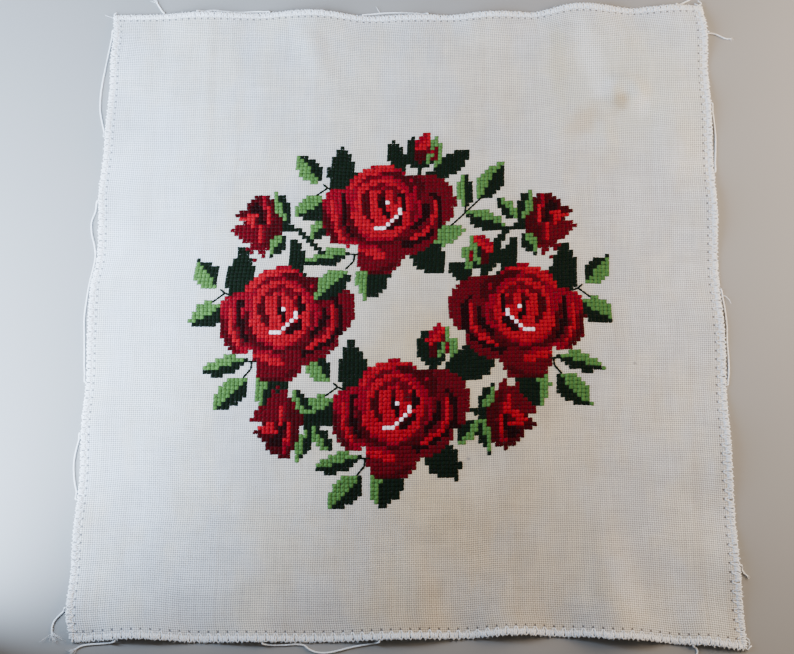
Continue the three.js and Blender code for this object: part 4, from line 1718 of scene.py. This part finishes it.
@dataclass(frozen=True)
class Slack:
    """One length of slack thread: the edge it leaves, where it starts and ends along it, and
    between them how far out it lies. Its end is None where it is a cut one. fray is how wide
    its cut end has opened."""

    name: str
    side: Side
    start: float
    end: float | None
    swing: tuple[Point, ...]
    fray: float = 0.0

    def beside(self, form: ClothForm, at: float, off: float, z: float) -> np.ndarray:
        """A point outside the edge.

        Args:
            form: The cloth's shape.
            at: Where along the edge.
            off: How far out.
            z: How high, in the frame.

        Returns:
            The point in millimetres.
        """
        x, y = self.side.place(np.array([at]), np.array([0.0]))
        px, py = form.place(x, y)
        out = self.side.outward()
        return np.array([px[0] + out[0] * off, py[0] + out[1] * off, z])

    def rim(self, form: ClothForm, at: float) -> list[np.ndarray]:
        """The two points where the thread leaves the rim."""
        x, y = self.side.place(np.array([at]), np.array([0.0]))
        z = float(form.underside(x, y)[0]) + FRAME_THICKNESS / 2
        return [self.beside(form, at, off, z) for off in (0.35, 0.85)]

    def route(self, form: ClothForm, lying: float, step: float) -> np.ndarray:
        """The smooth line that the thread follows, in metres.

        Args:
            form: The cloth's shape.
            lying: The height at which it lies, in millimetres.
            step: The distance between points, in millimetres.

        Returns:
            Rows of x, y and z.
        """
        knots = self.rim(form, self.start) + [self.beside(form, at, off, lying) for at, off in self.swing]
        if self.end is not None:
            knots += self.rim(form, self.end)[::-1]
        line = smooth_line(np.array(knots))
        line[:, 2] = np.maximum(line[:, 2], lying)
        length = np.concatenate([[0], np.cumsum(np.linalg.norm(np.diff(line, axis=0), axis=1))])
        places = np.linspace(0, length[-1], max(8, round(length[-1] / step)))
        return np.stack([np.interp(places, length, line[:, axis]) for axis in range(3)], axis=1) * MM


SLACK = (
    Slack("thread_loop_top_left", Side.TOP, -111, -73, (
        (-107, 1.9), (-103, 2.5), (-98, 1.9), (-93, 1.3), (-87, 1.1), (-81, 1.4), (-76, 1.3))),
    Slack("thread_loop_top_middle", Side.TOP, -24, 10.5, (
        (-20, 1.5), (-16, 2.0), (-10, 2.4), (-4, 2.4), (2, 2.0), (7.5, 1.5))),
    Slack("thread_loop_left_far", Side.LEFT, 153, 90.5, (
        (149.5, 1.5), (144, 2.0), (137, 2.5), (130, 3.3), (122, 4.2), (113, 4.6), (106, 4.2), (100, 2.9),
        (94.5, 1.5))),
    Slack("thread_loop_left_middle", Side.LEFT, 55, -39.5, (
        (50, 2.3), (44, 4.1), (38, 3.6), (32, 2.1), (26, 1.1), (19, 0.9), (12, 1.0), (6, 1.5), (0, 2.1),
        (-7, 2.6), (-15, 2.2), (-23, 1.7), (-31, 1.5), (-36, 1.1))),
    Slack("thread_loop_left_near", Side.LEFT, -65.5, -97.5, (
        (-68.5, 1.4), (-73, 2.4), (-79, 3.2), (-84, 3.1), (-89, 2.4), (-93.5, 1.3))),
    Slack("thread_loop_right_far", Side.RIGHT, 106.5, 69, (
        (102.5, 1.3), (95.5, 1.8), (88.5, 2.1), (81.5, 1.8), (74.5, 1.3))),
    Slack("thread_loop_right_middle", Side.RIGHT, 7, -41, (
        (2.5, 1.3), (-4, 1.8), (-11.5, 1.9), (-19, 1.4), (-27, 1.6), (-34, 1.7), (-38, 1.3))),
    Slack("thread_loop_bottom", Side.BOTTOM, -66.5, -13, (
        (-62.5, 1.4), (-57, 1.4), (-51, 1.1), (-47.5, 1.6), (-45, 3.4), (-41.5, 4.7), (-36.5, 4.9),
        (-31.5, 4.0), (-26, 2.8), (-20, 1.9), (-15.5, 1.3))),
    Slack("thread_tail_top_left", Side.TOP, -128.5, None, (
        (-129.5, 1.9), (-131.3, 4.8), (-133.2, 8.0)), 2.0),
    Slack("thread_tail_top_right", Side.TOP, 141.5, None, (
        (143.7, 1.7), (147, 3.4), (150, 5.0), (152.5, 6.4)), 1.0),
    Slack("thread_tail_right_far", Side.RIGHT, 147, None, (
        (147.6, 1.7), (147.4, 4.2), (146, 7.5), (144.6, 10.2), (144.4, 12.6)), 0.8),
    Slack("thread_tail_right_near", Side.RIGHT, -126, None, (
        (-127.6, 1.4), (-129.4, 2.4), (-130.6, 3.8)), 0.6),
    Slack("thread_tail_bottom_right", Side.BOTTOM, 130.5, None, (
        (131.8, 1.4), (132.4, 2.8), (131.9, 4.4)), 0.6),
    Slack("thread_tail_bottom_left", Side.BOTTOM, -134, None, (
        (-137, 1.3), (-141.5, 1.4), (-146, 1.4), (-149.6, 1.9), (-152.6, 3.4)), 2.0),
    Slack("thread_tail_left_near", Side.LEFT, -147.8, None, (
        (-149.2, 1.9), (-151.6, 4.3), (-154, 6.4), (-156.8, 7.6), (-159.6, 8.0)), 2.8),
)


def smooth_line(knots: np.ndarray, between: int = 24) -> np.ndarray:
    """Runs a centripetal curve through points.

    Args:
        knots: The points.
        between: How many steps go from each to the next.

    Returns:
        The points of the curve.
    """
    first = 2 * knots[0] - knots[1]
    last = 2 * knots[-1] - knots[-2]
    run = np.vstack([first, knots, last])
    line = []
    for i in range(1, len(run) - 2):
        a, b, c, d = run[i - 1:i + 3]
        gaps = [max(1e-4, float(np.linalg.norm(q - p)) ** 0.5) for p, q in ((a, b), (b, c), (c, d))]
        leave = ((b - a) / gaps[0] - (c - a) / (gaps[0] + gaps[1]) + (c - b) / gaps[1]) * gaps[1]
        arrive = ((c - b) / gaps[1] - (d - b) / (gaps[1] + gaps[2]) + (d - c) / gaps[2]) * gaps[1]
        share = (np.arange(between) / between)[:, None]
        cubic = 2 * b - 2 * c + leave + arrive
        square = -3 * b + 3 * c - 2 * leave - arrive
        line.append(cubic * share**3 + square * share**2 + leave * share + b)
    return np.vstack([*line, knots[-1:]])


@dataclass
class SlackThreads:
    """The loops and cut tails of the overcasting thread, three plies twisted together."""

    form: ClothForm
    diameter: float = 0.7
    ply_radius: float = 0.25
    ply_offset: float = 0.2
    twist: float = 2.3
    lying: float = 0.45
    seed: int = 5

    def plied(self, route: np.ndarray, part: float = 1.0) -> Shape:
        """Twists three plies along a route.

        Args:
            route: The thread's middle line, in metres.
            part: How much of its thickness it keeps at its far end.

        Returns:
            The plies.
        """
        _, across, over = line_frames(route)
        length = np.concatenate([[0], np.cumsum(np.linalg.norm(np.diff(route, axis=0), axis=1))]) / MM
        thin = np.interp(length, [0, max(0.0, length[-1] - 3.0), length[-1]], [1.0, 1.0, part])
        plies = []
        for number in range(3):
            angle = (2 * math.pi * (length / self.twist + number / 3))[:, None]
            shift = across * np.cos(angle) + over * np.sin(angle)
            path = route + shift * (self.ply_offset * thin * MM)[:, None]
            plies.append(sweep(path, self.ply_radius * thin * MM, 6, 0.35 + 0.2 * number))
        return Shape.joined(plies)

    def tuft(self, route: np.ndarray, spread: float, rng: np.random.Generator) -> Shape:
        """Opens a cut end into its fibres.

        Args:
            route: The tail's middle line, in metres.
            spread: How wide the fibres open, in millimetres.
            rng: The source of their unevenness.

        Returns:
            The fibres.
        """
        end, back = route[-1], route[-4]
        ahead = (end - back) / np.linalg.norm(end - back)
        aside = np.array([-ahead[1], ahead[0], 0.0])
        fibres = []
        for _ in range(int(14 + 8 * spread)):
            run = np.linspace(0, rng.uniform(1.2, 1.6 + 1.2 * spread), 6) * MM
            open_by = rng.normal(0, 0.42) * spread / 2.4
            bow = rng.normal(0, 0.3)
            share = run / (3.0 * MM)
            root = end - ahead * rng.uniform(0.4, 1.4) * MM + aside * rng.normal(0, 0.14) * MM
            path = root + ahead * run[:, None] + aside * (open_by * run + bow * run * share)[:, None]
            path[:, 2] += rng.normal(0, 0.08) * MM + run * rng.uniform(-0.1, 0.35)
            path[:, 2] = np.maximum(path[:, 2], 0.08 * MM)
            radius = np.array((0.085, 0.08, 0.075, 0.07, 0.055, 0.03)) * MM
            fibres.append(sweep(path, radius, 4, float(rng.uniform(0.5, 1))))
        return Shape.joined(fibres)

    def build(self) -> list[bpy.types.Object]:
        """Makes the loops and the tails.

        Returns:
            The tails, which belong to the cloth.
        """
        rng = np.random.default_rng(self.seed)
        white = SewingThreadFinish().material("slack_thread")
        tails = []
        for slack in SLACK:
            route = slack.route(self.form, self.lying, 0.3)
            shape = self.plied(route, 1.0 if slack.end is not None else 0.8)
            if slack.end is None:
                shape = Shape.joined([shape, self.tuft(route, slack.fray, rng)])
            piece = shape.make(slack.name.replace("thread", "plied"), white)
            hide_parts(slack.name)
            if slack.end is None:
                tails.append(piece)
        return tails


@dataclass
class Studio:
    """The camera at the photograph's angle, a pale floor and soft light."""

    aim: tuple[float, float, float] = (-4.84, -11.49, 0.0)
    distance: float = 652.0
    tilt: float = 18.0
    lens: float = 60.3

    def camera(self) -> None:
        """Places the camera."""
        data = bpy.data.cameras.new("photo_camera")
        data.lens = self.lens
        data.sensor_width = 36.0
        data.clip_start = 0.01
        camera = bpy.data.objects.new("photo_camera", data)
        turn = math.radians(self.tilt)
        back = Vector((0.0, -math.sin(turn), math.cos(turn)))
        camera.location = (Vector(self.aim) + back * self.distance) * MM
        camera.rotation_euler = (turn, 0.0, 0.0)
        bpy.context.scene.collection.objects.link(camera)
        bpy.context.scene.camera = camera

    def floor(self) -> None:
        """Lays the floor just under the cloth."""
        bpy.ops.object.select_all(action="DESELECT")
        bpy.ops.mesh.primitive_plane_add(size=6.0, location=(0.0, 0.0, 0.0))
        floor = bpy.context.object
        floor.name = "pale_floor"
        floor.data.materials.append(FloorFinish().material())

    def lamp(self, name: str, place: tuple, aim: tuple, size: float, power: float, colour: Rgb) -> None:
        """Hangs one soft lamp.

        Args:
            name: Its name.
            place: Where it hangs, in metres.
            aim: Where it faces.
            size: How wide it is.
            power: Its power in watts.
            colour: Its colour.
        """
        data = bpy.data.lights.new(name, "AREA")
        data.shape = "SQUARE"
        data.size = size
        data.energy = power
        data.color = colour
        lamp = bpy.data.objects.new(name, data)
        lamp.visible_camera = False
        lamp.location = place
        lamp.rotation_euler = (Vector(aim) - Vector(place)).to_track_quat("-Z", "Y").to_euler()
        bpy.context.scene.collection.objects.link(lamp)

    def light(self) -> None:
        """Hangs the lamps and sets the sky."""
        self.lamp("window_side", (-0.32, 0.0, 0.172), (-0.23, 0.246, 0.0), 0.35, 9.0, (0.58, 0.75, 1.0))
        self.lamp("far_side", (0.43, 0.10, 0.18), (0.17, 0.03, 0.0), 0.35, 4.2, (1.0, 0.80, 0.60))
        world = bpy.data.worlds.new("soft_sky")
        world.use_nodes = True
        sky = next(node for node in world.node_tree.nodes if node.type == "BACKGROUND")
        sky.inputs["Color"].default_value = (1.0, 0.94, 0.88, 1.0)
        sky.inputs["Strength"].default_value = 0.14
        bpy.context.scene.world = world


def main() -> None:
    """Builds the camera and the slack threads first, then the floor, the lamps and the panel."""
    logging.basicConfig(level=logging.INFO)
    form = ClothForm()
    studio = Studio()
    studio.camera()
    tails = SlackThreads(form).build()
    studio.floor()
    studio.light()
    overcasting = Overcasting(form)
    wreath = Wreath()
    wreath.draw()
    cloth = GroundCloth(form, wreath).build(EvenweaveFinish().material(overcasting.needle_rows()))
    LOG.info("cloth has %d faces", len(cloth.data.polygons))
    edging = overcasting.build()
    stitches = Embroidery(form, wreath).build()


if __name__ == "__main__":
    main()
